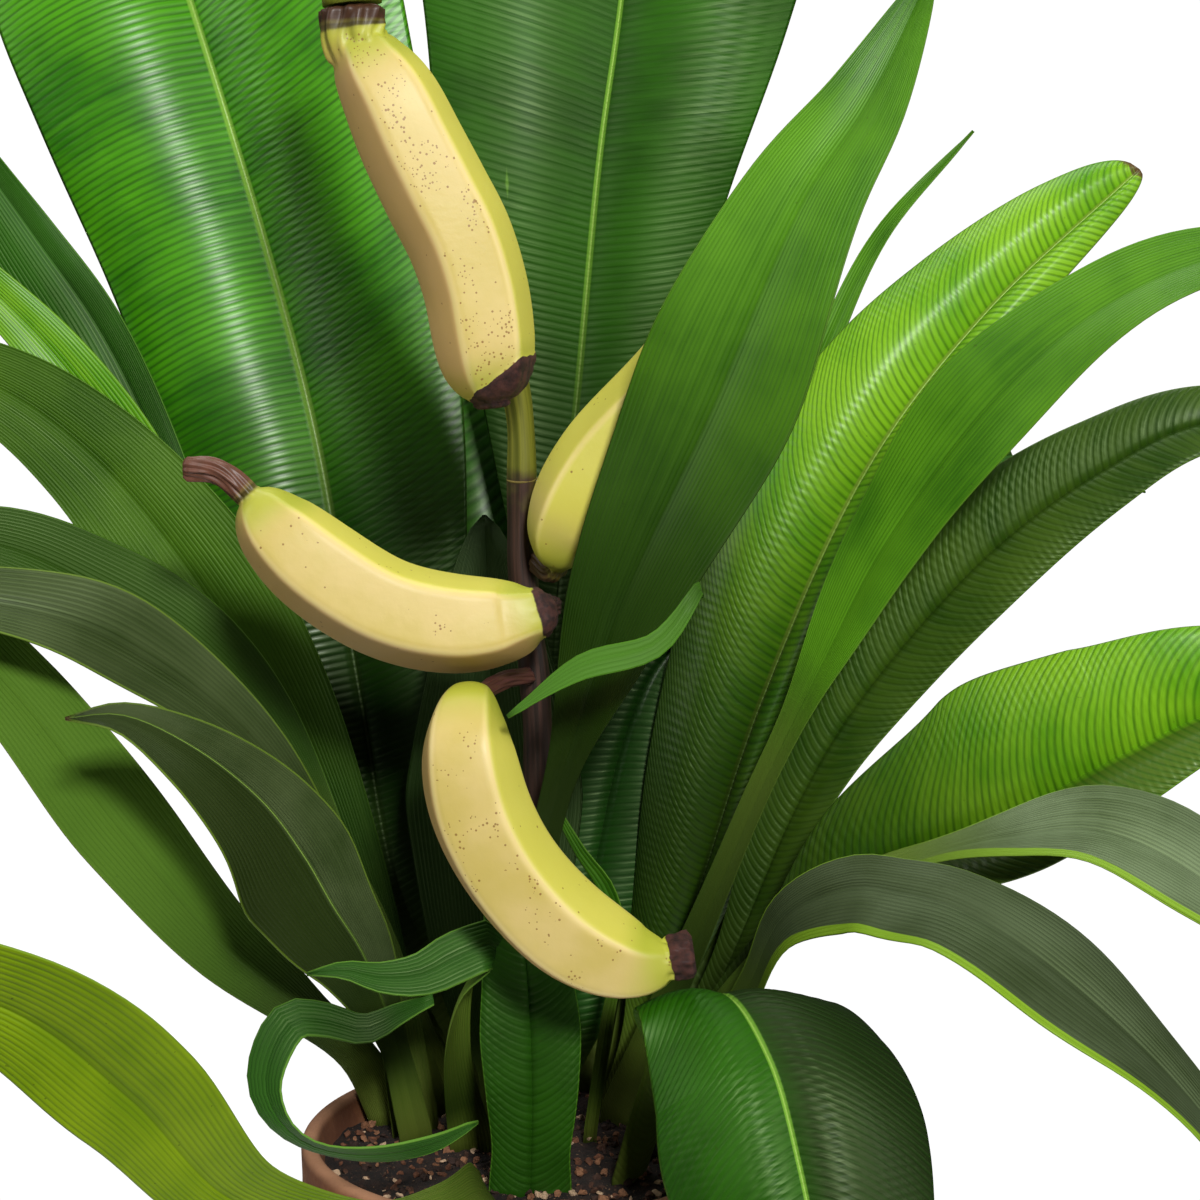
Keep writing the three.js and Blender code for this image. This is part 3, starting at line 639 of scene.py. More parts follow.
def leaf_blade(name, leaf, sizes, seed):
    """Closed thin blade of one leaf with its channelled stalk, before its veins are raised."""
    spacing = sizes.cross_vein_spacing * leaf["spacing"] if leaf["cross"] else sizes.line_spacing
    row_step = spacing / ROWS_PER_VEIN if leaf["cross"] else LINE_ROW * MM
    count = int(path_of(leaf["spine"], 2)[2] / row_step) + 2
    at = stations(leaf, count)
    side = side_places(leaf, at, spacing)
    shape = side.shape
    share = np.where(side > 0, leaf["right"], 1.0)
    out = np.abs(side) * share * at["half"]
    shifts = np.random.default_rng(seed).uniform(0, 2 * math.pi, 4)
    top, low, bladed, across_rib = blade_heights(leaf, at, side, out, shifts)
    flat = np.sign(side) * out * np.cos(at["fold"])
    middle = at["centre"][:, None] + at["across"][:, None] * flat[..., None]
    upper = middle + at["face"][:, None] * top[..., None]
    lower = middle + at["face"][:, None] * low[..., None]
    if leaf["rooted"]:
        for skin in (upper, lower):
            skin[0, :, 2] = SOIL_BOX[1].z - FOOT_SINK * MM
    points, faces, over = shell(upper, lower)
    run = at["t"] * at["length"]
    if leaf["cross"]:
        (left_lean, left_bend), (right_lean, right_bend) = leaf["sweep"]
        lean = np.where(side > 0, right_lean, left_lean)
        bend = np.where(side > 0, right_bend, left_bend)
        slip = sizes.vein_slip * (np.sin(run * 61 + shifts[2]) + np.sin(run * 23 + shifts[3] + 2 * side))
        vein = (run - lean * out - bend * np.abs(side) * out + slip) / spacing
    else:
        vein = side * round(leaf["wide"] / 2 * MM / spacing)
    weight = bladed * smooth(across_rib, 0.8, 1.6) * smooth(1 - np.abs(side), 0, 0.05)
    numbers = {
        "vein": spread(vein, shape), "side": spread(side, shape), "reach": spread(at["t"], shape),
        "blade": spread(bladed, shape), "rib": spread(across_rib + NO_RIB * (leaf["rib"] == 0), shape),
        "inset": spread((1 - np.abs(side)) * share * at["half"] / MM, shape),
        "turned": spread(np.maximum(smooth(side * leaf["turned"], 0, 0.06), leaf["shade"]), shape),
        "crease": spread(np.abs(out * np.sign(side) / MM - (leaf["crease"] or NO_CREASE)), shape),
        "dusk": spread((1 - smooth(at["t"], *leaf["dusk"])) * smooth(at["t"], *DUSK_START), shape),
        "lift": np.stack([spread(at["face"][:, k:k + 1] * weight, shape) for k in range(3)], 1),
    }
    return new_object(name, points, faces, numbers, {"over": over})


def vein_tree():
    """Geometry tree that raises the bands between veins and leaves the veins as thin grooves."""
    tree, inside, out = new_tree("vein relief", [
        ("Height", "Float"), ("Unevenness", "Float"), ("Material", "Material"),
    ])
    vein = add(tree, "GeometryNodeInputNamedAttribute", {"data_type": "FLOAT"}, {"Name": "vein"}).outputs[0]
    lift = add(tree, "GeometryNodeInputNamedAttribute", {"data_type": "FLOAT_VECTOR"}, {"Name": "lift"})
    wave = maths(tree, "ABSOLUTE", maths(tree, "SINE", maths(tree, "MULTIPLY", vein, math.pi)))
    place = vector_of(tree, maths(tree, "MULTIPLY", vein, 0.21), 0.0)
    rough = maths(tree, "SUBTRACT", patches(tree, place, 1.0), 0.5)
    uneven = maths(tree, "MULTIPLY_ADD", rough, inside.outputs["Unevenness"], 1.0)
    band = maths(tree, "MULTIPLY", maths(tree, "POWER", wave, 0.7), uneven)
    height = maths(tree, "MULTIPLY", band, inside.outputs["Height"])
    offset = add(tree, "ShaderNodeVectorMath", {"operation": "SCALE"},
                 {0: lift.outputs[0], "Scale": height}).outputs[0]
    raised = add(tree, "GeometryNodeSetPosition", None,
                 {"Geometry": inside.outputs["Geometry"], "Offset": offset}).outputs[0]
    end_tree(tree, raised, inside.outputs["Material"], out)
    return tree


# Looks of the leaves: colours of the upper face in shade and light, the half turned from the light, the
# veins, midrib, underside, edge and stalk; how strongly veins and specks show; gloss; the width in mm of
# the edge line, and of the band along the lower edge of a banded leaf; and how dry the tip is
LOOK_DEFAULTS = {
    "rib": "#7A9A34", "under": "#4E7A24", "edge": "#5E8A24", "stalk": "#4A6E18", "veins": 0.4, "specks": 0.3,
    "rough": 0.45, "coat": 0.0, "edge_width": 0.7, "band": 0.0, "dry": 0.0,
}
LOOKS = {
    "glossy": {
        "name": "Glossy banana blade, waxed", "deep": "#246C02", "light": "#4C9C0C", "turned": "#1E4A0A",
        "vein": "#123F02", "rib": "#86B444", "veins": 0.75, "specks": 0.2, "rough": 0.42, "coat": 0.3,
    },
    "fresh": {
        "name": "Fresh banana blade, lined", "deep": "#2F6406", "light": "#589214", "turned": "#2A351C",
        "vein": "#24560A", "coat": 0.1,
    },
    "lime": {
        "name": "Young banana blade, ribbed", "deep": "#4A8E06", "light": "#80B61C", "turned": "#44581A",
        "vein": "#245404", "rib": "#8AA83C", "edge": "#6E9A24", "veins": 0.7, "rough": 0.42, "coat": 0.2,
        "dry": 1.0,
    },
    "sunlit": {
        "name": "Sunlit banana blade, streaked", "deep": "#5C7A00", "light": "#7C960A", "turned": "#4A5E08",
        "vein": "#46600A", "rib": "#8A9A30", "under": "#5E7020", "edge": "#6E8A20", "specks": 0.6,
    },
    "olive": {
        "name": "Older banana blade, matt", "deep": "#4A6408", "light": "#5E7A1C", "turned": "#34480C",
        "vein": "#2E4408", "rib": "#6E8A30", "edge": "#6E8A34", "specks": 0.6, "edge_width": 0.8,
    },
    # Painted reflection: the greyish greens of this look paint the grey sheen that a glossy blade shows at a
    # grazing angle
    "grey": {
        "name": "Banana blade with a waxy bloom", "deep": "#2A3C14", "light": "#505E38", "turned": "#22300A",
        "vein": "#26321A", "rib": "#5E7434", "under": "#46562C", "edge": "#6E8A2C", "coat": 0.05, "dry": 1.0,
        "edge_width": 1.2,
    },
    # Painted reflection: the greyish greens of this look paint the grey sheen of a glossy blade seen at a
    # grazing angle
    "banded": {
        "name": "Banana blade with a bloom and a bright edge", "deep": "#3C4A2A", "light": "#6C7C5A",
        "turned": "#242E16", "vein": "#28321E", "rib": "#5E7434", "under": "#55633A", "edge": "#7EA41E",
        "coat": 0.05, "band": 3.8,
    },
    "torn": {
        "name": "Torn banana blade, curled", "deep": "#1E460E", "light": "#305E1A", "turned": "#244810",
        "vein": "#1E4A10", "rib": "#5E8A3A", "under": "#2A4E14", "edge": "#5E8A2C", "edge_width": 0.9,
    },
    "even": {
        "name": "Full grown banana blade, even", "deep": "#143E02", "light": "#265C06", "turned": "#1C2610",
        "vein": "#143F02", "rib": "#78A83A", "edge": "#4A7A1C", "coat": 0.03,
    },
    "satin": {
        "name": "Broad banana blade, satin", "deep": "#2A4E06", "light": "#466C14", "turned": "#26440A",
        "vein": "#1E3A06", "rib": "#5A8428", "edge": "#5E8A28", "veins": 0.15,
    },
    "waxy": {
        "name": "Inner banana blade, shining", "deep": "#123C06", "light": "#1E5810", "turned": "#123C06",
        "vein": "#0C2A04", "rib": "#1E5810", "rough": 0.4, "coat": 0.5,
    },
    "dark": {
        "name": "Shaded banana blade, smooth", "deep": "#1E3C04", "light": "#3A540E", "turned": "#26380C",
        "vein": "#1A3206", "rib": "#4E7420", "edge": "#4E6E20", "coat": 0.05,
    },
}
LOOKS = {key: {**LOOK_DEFAULTS, **look} for key, look in LOOKS.items()}


CROWN_SHADE_PLACE = (0.0, 0.1, 0.37)  # painted shade: leaves are darkened most round here, deep in the crown, in metres
CROWN_SHADE_SIZE = (0.15, 0.16, 0.19)


def leaf_material(look, deep, light):
    """Living leaf: waxy skin with a soft gloss over green tissue, thin dark veins and a pale midrib."""
    # The wax gives broad pale highlights, the grooves of the veins break them into bands
    material, tree, shader = new_material(look["name"])
    vein, side, reach = stored(tree, "vein"), stored(tree, "side"), stored(tree, "reach")
    over, rib, inset = stored(tree, "over"), stored(tree, "rib"), stored(tree, "inset")
    cloud = patches(tree, here(tree), 60 * MM)
    streak = patches(tree, vector_of(tree, maths(tree, "MULTIPLY", vein, 0.8), side, reach), 0.9)
    fine = patches(tree, vector_of(tree, maths(tree, "MULTIPLY", vein, 4.0), side, reach), 0.8)
    groove = ramp(tree, maths(tree, "PINGPONG", vein, 0.5), 0.0, 0.34, 1.0, 0.0)
    groove = maths(tree, "MULTIPLY", groove, ramp(tree, streak, 0.2, 0.8, 1.0, 0.6))
    green = blend(tree, ramp(tree, cloud, 0.3, 0.7), deep, light)
    green = blend(tree, ramp(tree, streak, 0.4, 0.75, 0.0, 0.5), green, light)
    green = blend(tree, ramp(tree, fine, 0.5, 0.75, 0.0, 0.2), green, linear(look["vein"]))
    # Painted shade: the half turned from the light, or the whole leaf by its shade share, takes the darker
    # turned colour
    away = maths(tree, "MULTIPLY", stored(tree, "turned"), 0.9)
    green = blend(tree, away, green, linear(look["turned"]))
    green = blend(tree, maths(tree, "MULTIPLY", groove, look["veins"]), green, linear(look["vein"]))
    speck = ramp(tree, patches(tree, here(tree), 2.2 * MM, 1.0), 0.74, 0.8, 0.0, look["specks"])
    green = blend(tree, speck, green, linear("#2C2A0C"))
    lower = blend(tree, 0.6, green, linear(look["under"]))
    green = blend(tree, over, lower, green)
    band = ramp(tree, maths(tree, "SUBTRACT", inset, maths(tree, "MULTIPLY", look["band"], ramp(
        tree, side, -0.1, 0.2))), look["edge_width"] * 0.5, look["edge_width"], 0.8, 0.0)
    green = blend(tree, band, green, linear(look["edge"]))
    fold = ramp(tree, stored(tree, "crease"), 0.3, 1.3, 0.6, 0.0)
    fold = maths(tree, "MULTIPLY", fold, ramp(tree, reach, 0.45, 0.7))
    green = blend(tree, fold, green, linear(look["rib"]))
    pale = blend(tree, ramp(tree, rib, 0.05, 0.4), linear("#9CC056"), linear(look["rib"]))
    dim = ramp(tree, reach, 0.1, 0.55, 0.75, 0.0)
    pale = blend(tree, dim, pale, linear(look["stalk"]))
    green = blend(tree, ramp(tree, rib, 0.6, 1.2, 0.9, 0.0), green, pale)
    ridges = patches(tree, vector_of(tree, maths(tree, "MULTIPLY", side, 9.0), reach), 0.7)
    stalk = blend(tree, ridges, linear(look["stalk"]), linear("#6E7E30"))
    stalk = blend(tree, ramp(tree, reach, 0.0, 0.15, 0.6, 0.0), stalk, linear("#3E3A16"))
    green = blend(tree, stored(tree, "blade"), stalk, green)
    end = maths(tree, "ADD", reach, maths(tree, "MULTIPLY", fine, 0.016))
    green = blend(tree, ramp(tree, end, 0.998, 1.004, 0.0, look["dry"]), green, linear("#5A4428"))
    # Painted shade: leaves darken towards near black green nearer the middle of the crown, where little light
    # reaches
    inner = add(tree, "ShaderNodeVectorMath", {"operation": "SUBTRACT"},
                {0: here(tree), 1: CROWN_SHADE_PLACE}).outputs[0]
    inner = add(tree, "ShaderNodeVectorMath", {"operation": "DIVIDE"}, {0: inner, 1: CROWN_SHADE_SIZE}).outputs[0]
    inner = add(tree, "ShaderNodeVectorMath", {"operation": "LENGTH"}, {0: inner}).outputs["Value"]
    green = blend(tree, ramp(tree, inner, 0.5, 1.05, 0.7, 0.0), green, linear("#0C2604"))
    # Painted shade: the foot of each leaf darkens towards near black green over the part of its length given
    # by its dusk
    green = blend(tree, maths(tree, "MULTIPLY", stored(tree, "dusk"), 0.88), green, linear("#0A1E02"))
    rough = ramp(tree, streak, 0.2, 0.8, look["rough"] - 0.05, look["rough"] + 0.09)
    rough = maths(tree, "MULTIPLY_ADD", groove, 0.15, rough)
    rough = maths(tree, "MULTIPLY_ADD", maths(tree, "SUBTRACT", 1.0, over), 0.18, rough)
    height = maths(tree, "SUBTRACT", maths(tree, "MULTIPLY", fine, 0.35), groove)
    wire(tree, shader, {
        "Base Color": green, "Roughness": rough, "IOR": 1.45, "Specular IOR Level": 0.4,
        "Specular Tint": (0.75, 1.0, 0.45, 1), "Coat Weight": look["coat"], "Coat Roughness": 0.3,
        "Normal": relief(tree, height, 0.2 * MM),
    })
    return material


# ---- Fruit and fruit stalk ----

FRUIT_RADIUS = 22.5  # mm, as all sizes in these tables
FACET = 0.9  # 0 for a round section, 1 for flat facets, on a fruit with five even ones
EVEN_HALF = 36  # half of such a facet, in degrees
FRUIT_ROWS = 130
FRUIT_SIDES = 120
CAP_ROWS = 6  # rows before the end of a fruit where the way that it points is taken
CAP_THICK = 1.4  # the dry tip stands this far out
CAP_EDGE = 1.6  # width of the slope at the edge of the dry tip
SKY_WAY = (0.62, 0.1, 0.78)  # peel that faces this way is lemon, partly painted light and partly the peel's own greener yellow; a fruit with less "ripe" has more of it
SHADE_WAY = (-0.55, 0.0, -0.83)  # peel that faces this way is buff, partly painted shade and partly the peel's own tan
CAP_WAVE = 0.25  # unevenness of the edge of the dry tip
RIDGE_SHARE = 0.12  # share of a facet over which its colour turns into the next one's
STALK_FOOT = 9
STALK_MIDDLE = 6
STALK_END = 11
STALK_ROWS = 220
STALK_SIDES = 40
FIRST_SIDE = (1, 0.3, 0.1)  # direction that carries the count of angles along a rod
COUNTED_WAY = (0.7, 0.0, 0.7)  # ridges are counted towards the right or up

# The stalk rises behind the fruit and hooks over to carry the top one
FRUIT_STALK = [
    [0, 6, 169], [3, -4, 260], [5, -18, 340], [3, -22, 390], [-2, -22, 440], [-3, -24, 505], [-16, -28, 549],
    [-34, -30, 585], [-55, -32, 628], [-67, -34, 664], [-72, -40, 686], [-72, -57, 698], [-68, -74, 695],
    [-66, -80, 684], [-65, -80, 673], [-64, -80, 662],
]

# Each fruit: its spine, the shares of its length that are bare stem at the start and the end, the radii
# there, how blunt its two ends are, how far its dry tip reaches up in mm and leans over, the colour of its
# stem, the degrees from its front to each ridge, rising to the right or up, and how freckled it is
FRUITS = {
    "fruit_top": {
        "head": 0.05, "tail": 0.01, "head_radius": 12, "tail_radius": 6, "blunt": (3.8, 7), "cap": 7,
        "lean": (0.5, -0.1, 0.2), "stem": "#3A2414", "ridges": (-22, 40, 112, 186, 262), "freckled": 0.19,
        "ripe": 0.05,
        "spine": [[-63.9, -80, 661.2], [-63, -80, 650], [-58.5, -80, 641], [-50, -80, 627], [-41.5, -80, 609],
                  [-32.5, -80, 591], [-23.5, -80, 573], [-17.5, -80, 554], [-14.5, -80, 536],
                  [-12.5, -80, 520], [-11, -80, 507]],
    },
    "fruit_left": {
        "head": 0.14, "tail": 0.175, "head_radius": 5, "tail_radius": 3.5, "blunt": (3.8, 3.4), "cap": 3,
        "lean": (0, 0, 0), "stem": "#7A4E3E", "ridges": (-26, 46, 116, 188, 262), "freckled": 0.0,
        "ripe": 0.0,
        "spine": [[-136, -66, 482], [-123, -66, 481], [-112, -66, 473], [-99, -66, 457], [-80, -66, 440],
                  [-55, -66, 425], [-29, -66, 419], [-8, -66, 420], [4, -67, 423], [10, -61, 424],
                  [10, -46, 423], [4.6, -27.4, 422]],
    },
    "fruit_right": {
        "head": 0.1, "tail": 0.04, "head_radius": 4.5, "tail_radius": 7, "blunt": (3.8, 3.8), "cap": 3,
        "lean": (0, 0, 0), "stem": "#4A3A1C", "ridges": (-36, 36, 108, 180, 252), "freckled": 0.0,
        "ripe": -0.62,
        "spine": [[4.2, -26, 440], [12, -38, 437], [16, -44, 455], [33, -43, 483], [64, -42, 516],
                  [90, -42, 553], [102, -42, 571]],
    },
    "fruit_low": {
        "head": 0.22, "tail": 0.035, "head_radius": 3.5, "tail_radius": 8, "blunt": (3.8, 3.4), "cap": 2,
        "lean": (0.2, 0, 0.2), "stem": "#4E2428", "ridges": (-42, 30, 104, 178, 250), "freckled": 0.1,
        "ripe": -0.05,
        "spine": [[1.2, -28.6, 391], [-8, -45, 392], [-15, -62, 391], [-20, -78, 388], [-22, -90, 374],
                  [-17, -92, 347], [-2, -92, 319], [22, -92, 295], [46, -92, 285], [69, -92, 288]],
    },
}


def rod(spine, rows, sides, radius):
    """Rings of points round a spine, their outward directions and the fractions and angles they lie at."""
    centre, tangent, _ = path_of(spine, rows + 1)
    t = np.linspace(0, 1, rows + 1)[:, None]
    angle = np.arange(sides) * 2 * math.pi / sides
    side = np.array(FIRST_SIDE, float)
    sides_along = []
    for row in range(rows + 1):
        side = unit(side - (side * tangent[row]).sum() * tangent[row])
        sides_along.append(side)
    side = np.array(sides_along)
    face = np.cross(side, tangent)
    turn = angle + math.atan2(-face[rows // 2, 1], side[rows // 2, 1])
    outward = -side[:, None] * np.cos(turn)[:, None] + face[:, None] * np.sin(turn)[:, None]
    points = centre[:, None] + outward * (radius(t, angle[None, :]) * MM)[..., None]
    return points, outward, t, angle[None, :]


def closed_rod(name, points, numbers):
    """Smooth closed mesh of a rod's rings, with a point in the middle of each end."""
    rows, sides = points.shape[:2]
    grid = np.arange(rows * sides).reshape(rows, sides)
    beside = np.roll(grid, -1, axis=1)
    faces = np.stack([grid[:-1], beside[:-1], beside[1:], grid[1:]], -1).reshape(-1, 4).tolist()
    first, last = rows * sides, rows * sides + 1
    faces += [[first, int(b), int(a)] for a, b in zip(grid[0], beside[0])]
    faces += [[last, int(a), int(b)] for a, b in zip(grid[-1], beside[-1])]
    ends = points[[0, -1]].mean(axis=1)
    numbers = {key: np.concatenate([v.ravel(), v[[0, -1]].mean(axis=1)]) for key, v in numbers.items()}
    return new_object(name, np.vstack([points.reshape(-1, 3), ends]), faces, numbers)


def facets_of(ridges):
    """Middle and half width of the facet that each column of a fruit lies in, and its angle from there."""
    angle = np.arange(FRUIT_SIDES) * 2 * math.pi / FRUIT_SIDES
    corners = np.sort(np.radians(ridges) % (2 * math.pi))
    ends = np.append(corners, corners[0] + 2 * math.pi)
    start = (angle - corners[0]) % (2 * math.pi) + corners[0]
    facet = np.searchsorted(ends, start + 1e-9) - 1
    middle = (ends[facet] + ends[facet + 1]) / 2
    half = (ends[facet + 1] - ends[facet]) / 2
    return middle, half, start - middle


def section(half, from_middle):
    """Radius round a fruit, 1 at its ridges and less on the facets between them."""
    polygon = np.cos(half) / np.cos(from_middle)
    flat = FACET * np.minimum(1, math.radians(EVEN_HALF) / half) ** 2
    blunt = 1 - 0.035 * np.exp(-((np.abs(from_middle) - half) / 0.07) ** 2)
    return ((1 - flat + flat * polygon) * blunt)[None, :]


def facing(outward, middle, half, from_middle):
    """Directions that the facets face, turning from one to the next at the ridges."""
    step = 2 * math.pi / FRUIT_SIDES
    column = np.round(middle / step).astype(int) % FRUIT_SIDES
    past = np.where(from_middle > 0, 1, -1) * (half + step)
    beyond = np.round((middle + past) / step).astype(int) % FRUIT_SIDES
    near = 1 - np.abs(from_middle) / half
    share = 0.5 * (1 - smooth(near, 0.0, RIDGE_SHARE))[None, :, None]
    return outward[:, column] * (1 - share) + outward[:, column[beyond]] * share


def fruit_peel(name, fruit, seed):
    """One fruit with its ridges, its stem and its dry tip."""
    head, tail = fruit["head"], fruit["tail"]
    centre, tangent, _ = path_of(fruit["spine"], FRUIT_ROWS + 1)
    sense = np.cross(tangent[FRUIT_ROWS // 2], (0, -1, 0)) @ np.array(COUNTED_WAY)
    middle, half, from_middle = facets_of(np.array(fruit["ridges"]) * math.copysign(1, sense))
    rim = section(half, from_middle)
    turns = np.random.default_rng(seed).uniform(0, 2 * math.pi, 6)

    def radius(t, angle):
        s = np.clip((t - head) / (1 - head - tail), 0, 1)
        body = FRUIT_RADIUS * np.sqrt(1 - np.abs(2 * s - 1) ** np.where(s < 0.5, *fruit["blunt"]))
        stem = fruit["head_radius"] + (fruit["tail_radius"] - fruit["head_radius"]) * s
        bare = smooth(stem / np.maximum(body, 0.1), 0.75, 1.0)
        ragged = 0.1 * np.sin(3 * angle + turns[0]) + 0.07 * np.sin(7 * angle + turns[1] + 20 * t)
        ragged = ragged + 0.05 * np.sin(13 * angle + turns[2] - 60 * t)
        dent = 0.008 * np.sin(2 * angle + turns[3] + 9 * t) + 0.006 * np.sin(17 * t + turns[4])
        tip = 1 - 0.3 * smooth(t, 0.992, 1.0) - 0.25 * (1 - smooth(t, 0, 0.008))
        edges = 1 + (rim - 1) * smooth(body / FRUIT_RADIUS, 0.15, 0.8)
        return np.maximum(body * (edges + dent), stem * tip * (1 + bare * ragged))

    points, outward, t, angle = rod(fruit["spine"], FRUIT_ROWS, FRUIT_SIDES, radius)
    s = (t - head) / (1 - head - tail) + 0 * angle
    last = round((1 - tail) * FRUIT_ROWS)
    way = unit(tangent[last - CAP_ROWS] + np.array(fruit["lean"]))
    wavy = CAP_WAVE * (np.sin(5 * angle + turns[5]) + 0.7 * np.sin(11 * angle + turns[0]) + 0 * t)
    cap = smooth((points - centre[last]) @ way / MM + fruit["cap"] + wavy, 0, CAP_EDGE)
    crumbs = 0.7 + 0.3 * np.sin(9 * angle + 130 * t) * np.sin(4 * angle - 90 * t)
    points = points + outward * (cap * crumbs * CAP_THICK * MM)[..., None]
    facets = facing(outward, middle, half, from_middle)
    numbers = {
        "along": s, "ridge": (half - np.abs(from_middle))[None, :] + 0 * t,
        "tail": np.maximum(cap, t > 1 - tail),
        "head": 1 - smooth((t + 0 * angle), head - 0.02, head + 0.012),
        "skyward": facets @ unit(np.array(SKY_WAY)) - fruit["ripe"],
        "shade": facets @ unit(np.array(SHADE_WAY)),
        "front": facets[..., 1] * -1,
    }
    piece = closed_rod(name, points, numbers)
    piece.data.materials.append(peel_material(name, fruit["stem"], fruit["freckled"]))
    return piece


def flecks(tree, place, size, likely):
    """Small round dots: they crowd together where the input likely is high."""
    cell = add(tree, "ShaderNodeTexVoronoi", None, {"Vector": place, "Scale": 1 / size})
    tint = add(tree, "ShaderNodeSeparateColor", None, {0: cell.outputs["Color"]})
    reach = maths(tree, "MULTIPLY_ADD", tint.outputs[1], 0.2, 0.16)
    dot = maths(tree, "LESS_THAN", cell.outputs["Distance"], reach)
    return maths(tree, "MULTIPLY", dot, maths(tree, "LESS_THAN", tint.outputs[0], likely))


def peel_material(name, stem, freckled):
    """Ripe banana peel: smooth soft skin, waxy and a little uneven, browned at its ends."""
    # The matt wax spreads highlights wide, the ridges carry a painted paler highlight where they catch the
    # light, and small brown flecks lie in clusters
    colours = bpy.context.scene.banana_fruit
    material, tree, shader = new_material(f"Banana peel, ripe, {name.split('_')[-1]}")
    s, place = stored(tree, "along"), here(tree)
    cloud = patches(tree, place, 30 * MM)
    grain = patches(tree, place, 4 * MM, 4.0)
    uneven = maths(tree, "MULTIPLY", maths(tree, "SUBTRACT", cloud, 0.5), 0.2)
    peel = blend(tree, ramp(tree, cloud, 0.3, 0.7, 0.0, 0.5), tuple(colours.cream), linear("#E0C688"))
    # Partly painted light: facets that face up and right turn a brighter lemon, over the peel's own greener
    # yellow
    lit = maths(tree, "ADD", uneven, stored(tree, "skyward"))
    peel = blend(tree, ramp(tree, lit, 0.34, 0.56, 0.0, 0.9), peel, tuple(colours.lemon))
    # Painted shade, over some tan of the peel's own: facets that face down and left turn buff
    low = maths(tree, "ADD", uneven, stored(tree, "shade"))
    peel = blend(tree, ramp(tree, low, 0.35, 0.6, 0.0, 0.8), peel, linear("#CCA468"))
    # Painted highlight: the ridges are painted paler, as where they catch the light
    ridge = ramp(tree, stored(tree, "ridge"), 0.02, 0.12, 0.5, 0.0)
    peel = blend(tree, ridge, peel, linear("#EBD592"))
    middle = maths(tree, "ABSOLUTE", maths(tree, "MULTIPLY_ADD", s, 2.0, -1.0))
    green = maths(tree, "ADD", uneven, middle)
    green = maths(tree, "MULTIPLY_ADD", stored(tree, "skyward"), 0.1, green)
    peel = blend(tree, ramp(tree, green, 0.7, 0.95, 0.0, 0.85), peel, tuple(colours.green))
    crowd = ramp(tree, patches(tree, place, 16 * MM, 1.0), 0.6 - freckled, 0.78 - freckled, 0.0, 0.75)
    crowd = maths(tree, "MULTIPLY", crowd, ramp(tree, stored(tree, "front"), 0.8, 0.93))
    crowd = maths(tree, "ADD", crowd, 0.015)
    dots = maths(tree, "MULTIPLY", flecks(tree, place, 1.5 * MM, crowd), 0.75)
    peel = blend(tree, dots, peel, linear("#80521F"))
    peel = blend(tree, stored(tree, "head"), peel, blend(tree, grain, linear(stem), linear("#4A2E1C")))
    collar = ramp(tree, maths(tree, "PINGPONG", stored(tree, "head"), 0.5), 0.1, 0.4, 0.0, 0.8)
    peel = blend(tree, collar, peel, linear("#2E1A0E"))
    patchy = maths(tree, "MULTIPLY", maths(tree, "SUBTRACT", patches(tree, place, 5 * MM), 0.5), 0.4)
    dry = ramp(tree, maths(tree, "ADD", patchy, stored(tree, "tail")), 0.3, 0.5)
    husk = blend(tree, ramp(tree, grain, 0.3, 0.7), linear("#22100C"), linear("#4A2820"))
    peel = blend(tree, dry, peel, husk)
    rough = maths(tree, "MULTIPLY_ADD", dry, 0.35, ramp(tree, cloud, 0.3, 0.7, 0.42, 0.52))
    cracks = maths(tree, "MULTIPLY", dry, patches(tree, place, 1.5 * MM))
    bumps = maths(tree, "MULTIPLY_ADD", cracks, 3.0, grain)
    wire(tree, shader, {
        "Base Color": peel, "Roughness": rough, "IOR": 1.44, "Coat Weight": 0.05, "Coat Roughness": 0.3,
        "Subsurface Weight": 0.08, "Subsurface Radius": (0.004, 0.003, 0.001),
        "Normal": relief(tree, bumps, 0.12 * MM),
    })
    return material


def stalk_radius(t, angle):
    """Radius of the fruit stalk: thick at its foot, thinner above, thicker again at the hook."""
    low = STALK_FOOT + (STALK_MIDDLE - STALK_FOOT) * np.minimum(1, t / 0.4)
    high = STALK_MIDDLE + (STALK_END - STALK_MIDDLE) * (t - 0.75) / 0.25
    swell = 1 + 0.05 * np.sin(t * 90) * smooth(t, 0.1, 0.3) + 0.03 * np.sin(3 * angle + 12 * t)
    return np.where(t < 0.75, low, high) * swell


def fruit_stalk():
    """The stalk that carries the fruit."""
    points, _, t, angle = rod(FRUIT_STALK, STALK_ROWS, STALK_SIDES, stalk_radius)
    points[0, :, 2] = SOIL_BOX[1].z - FOOT_SINK * MM
    numbers = {"along": t + 0 * angle, "round_a": np.cos(angle) + 0 * t, "round_b": np.sin(angle) + 0 * t}
    piece = closed_rod("stalk_of_fruit", points, numbers)
    piece.data.materials.append(stalk_material())
    return piece


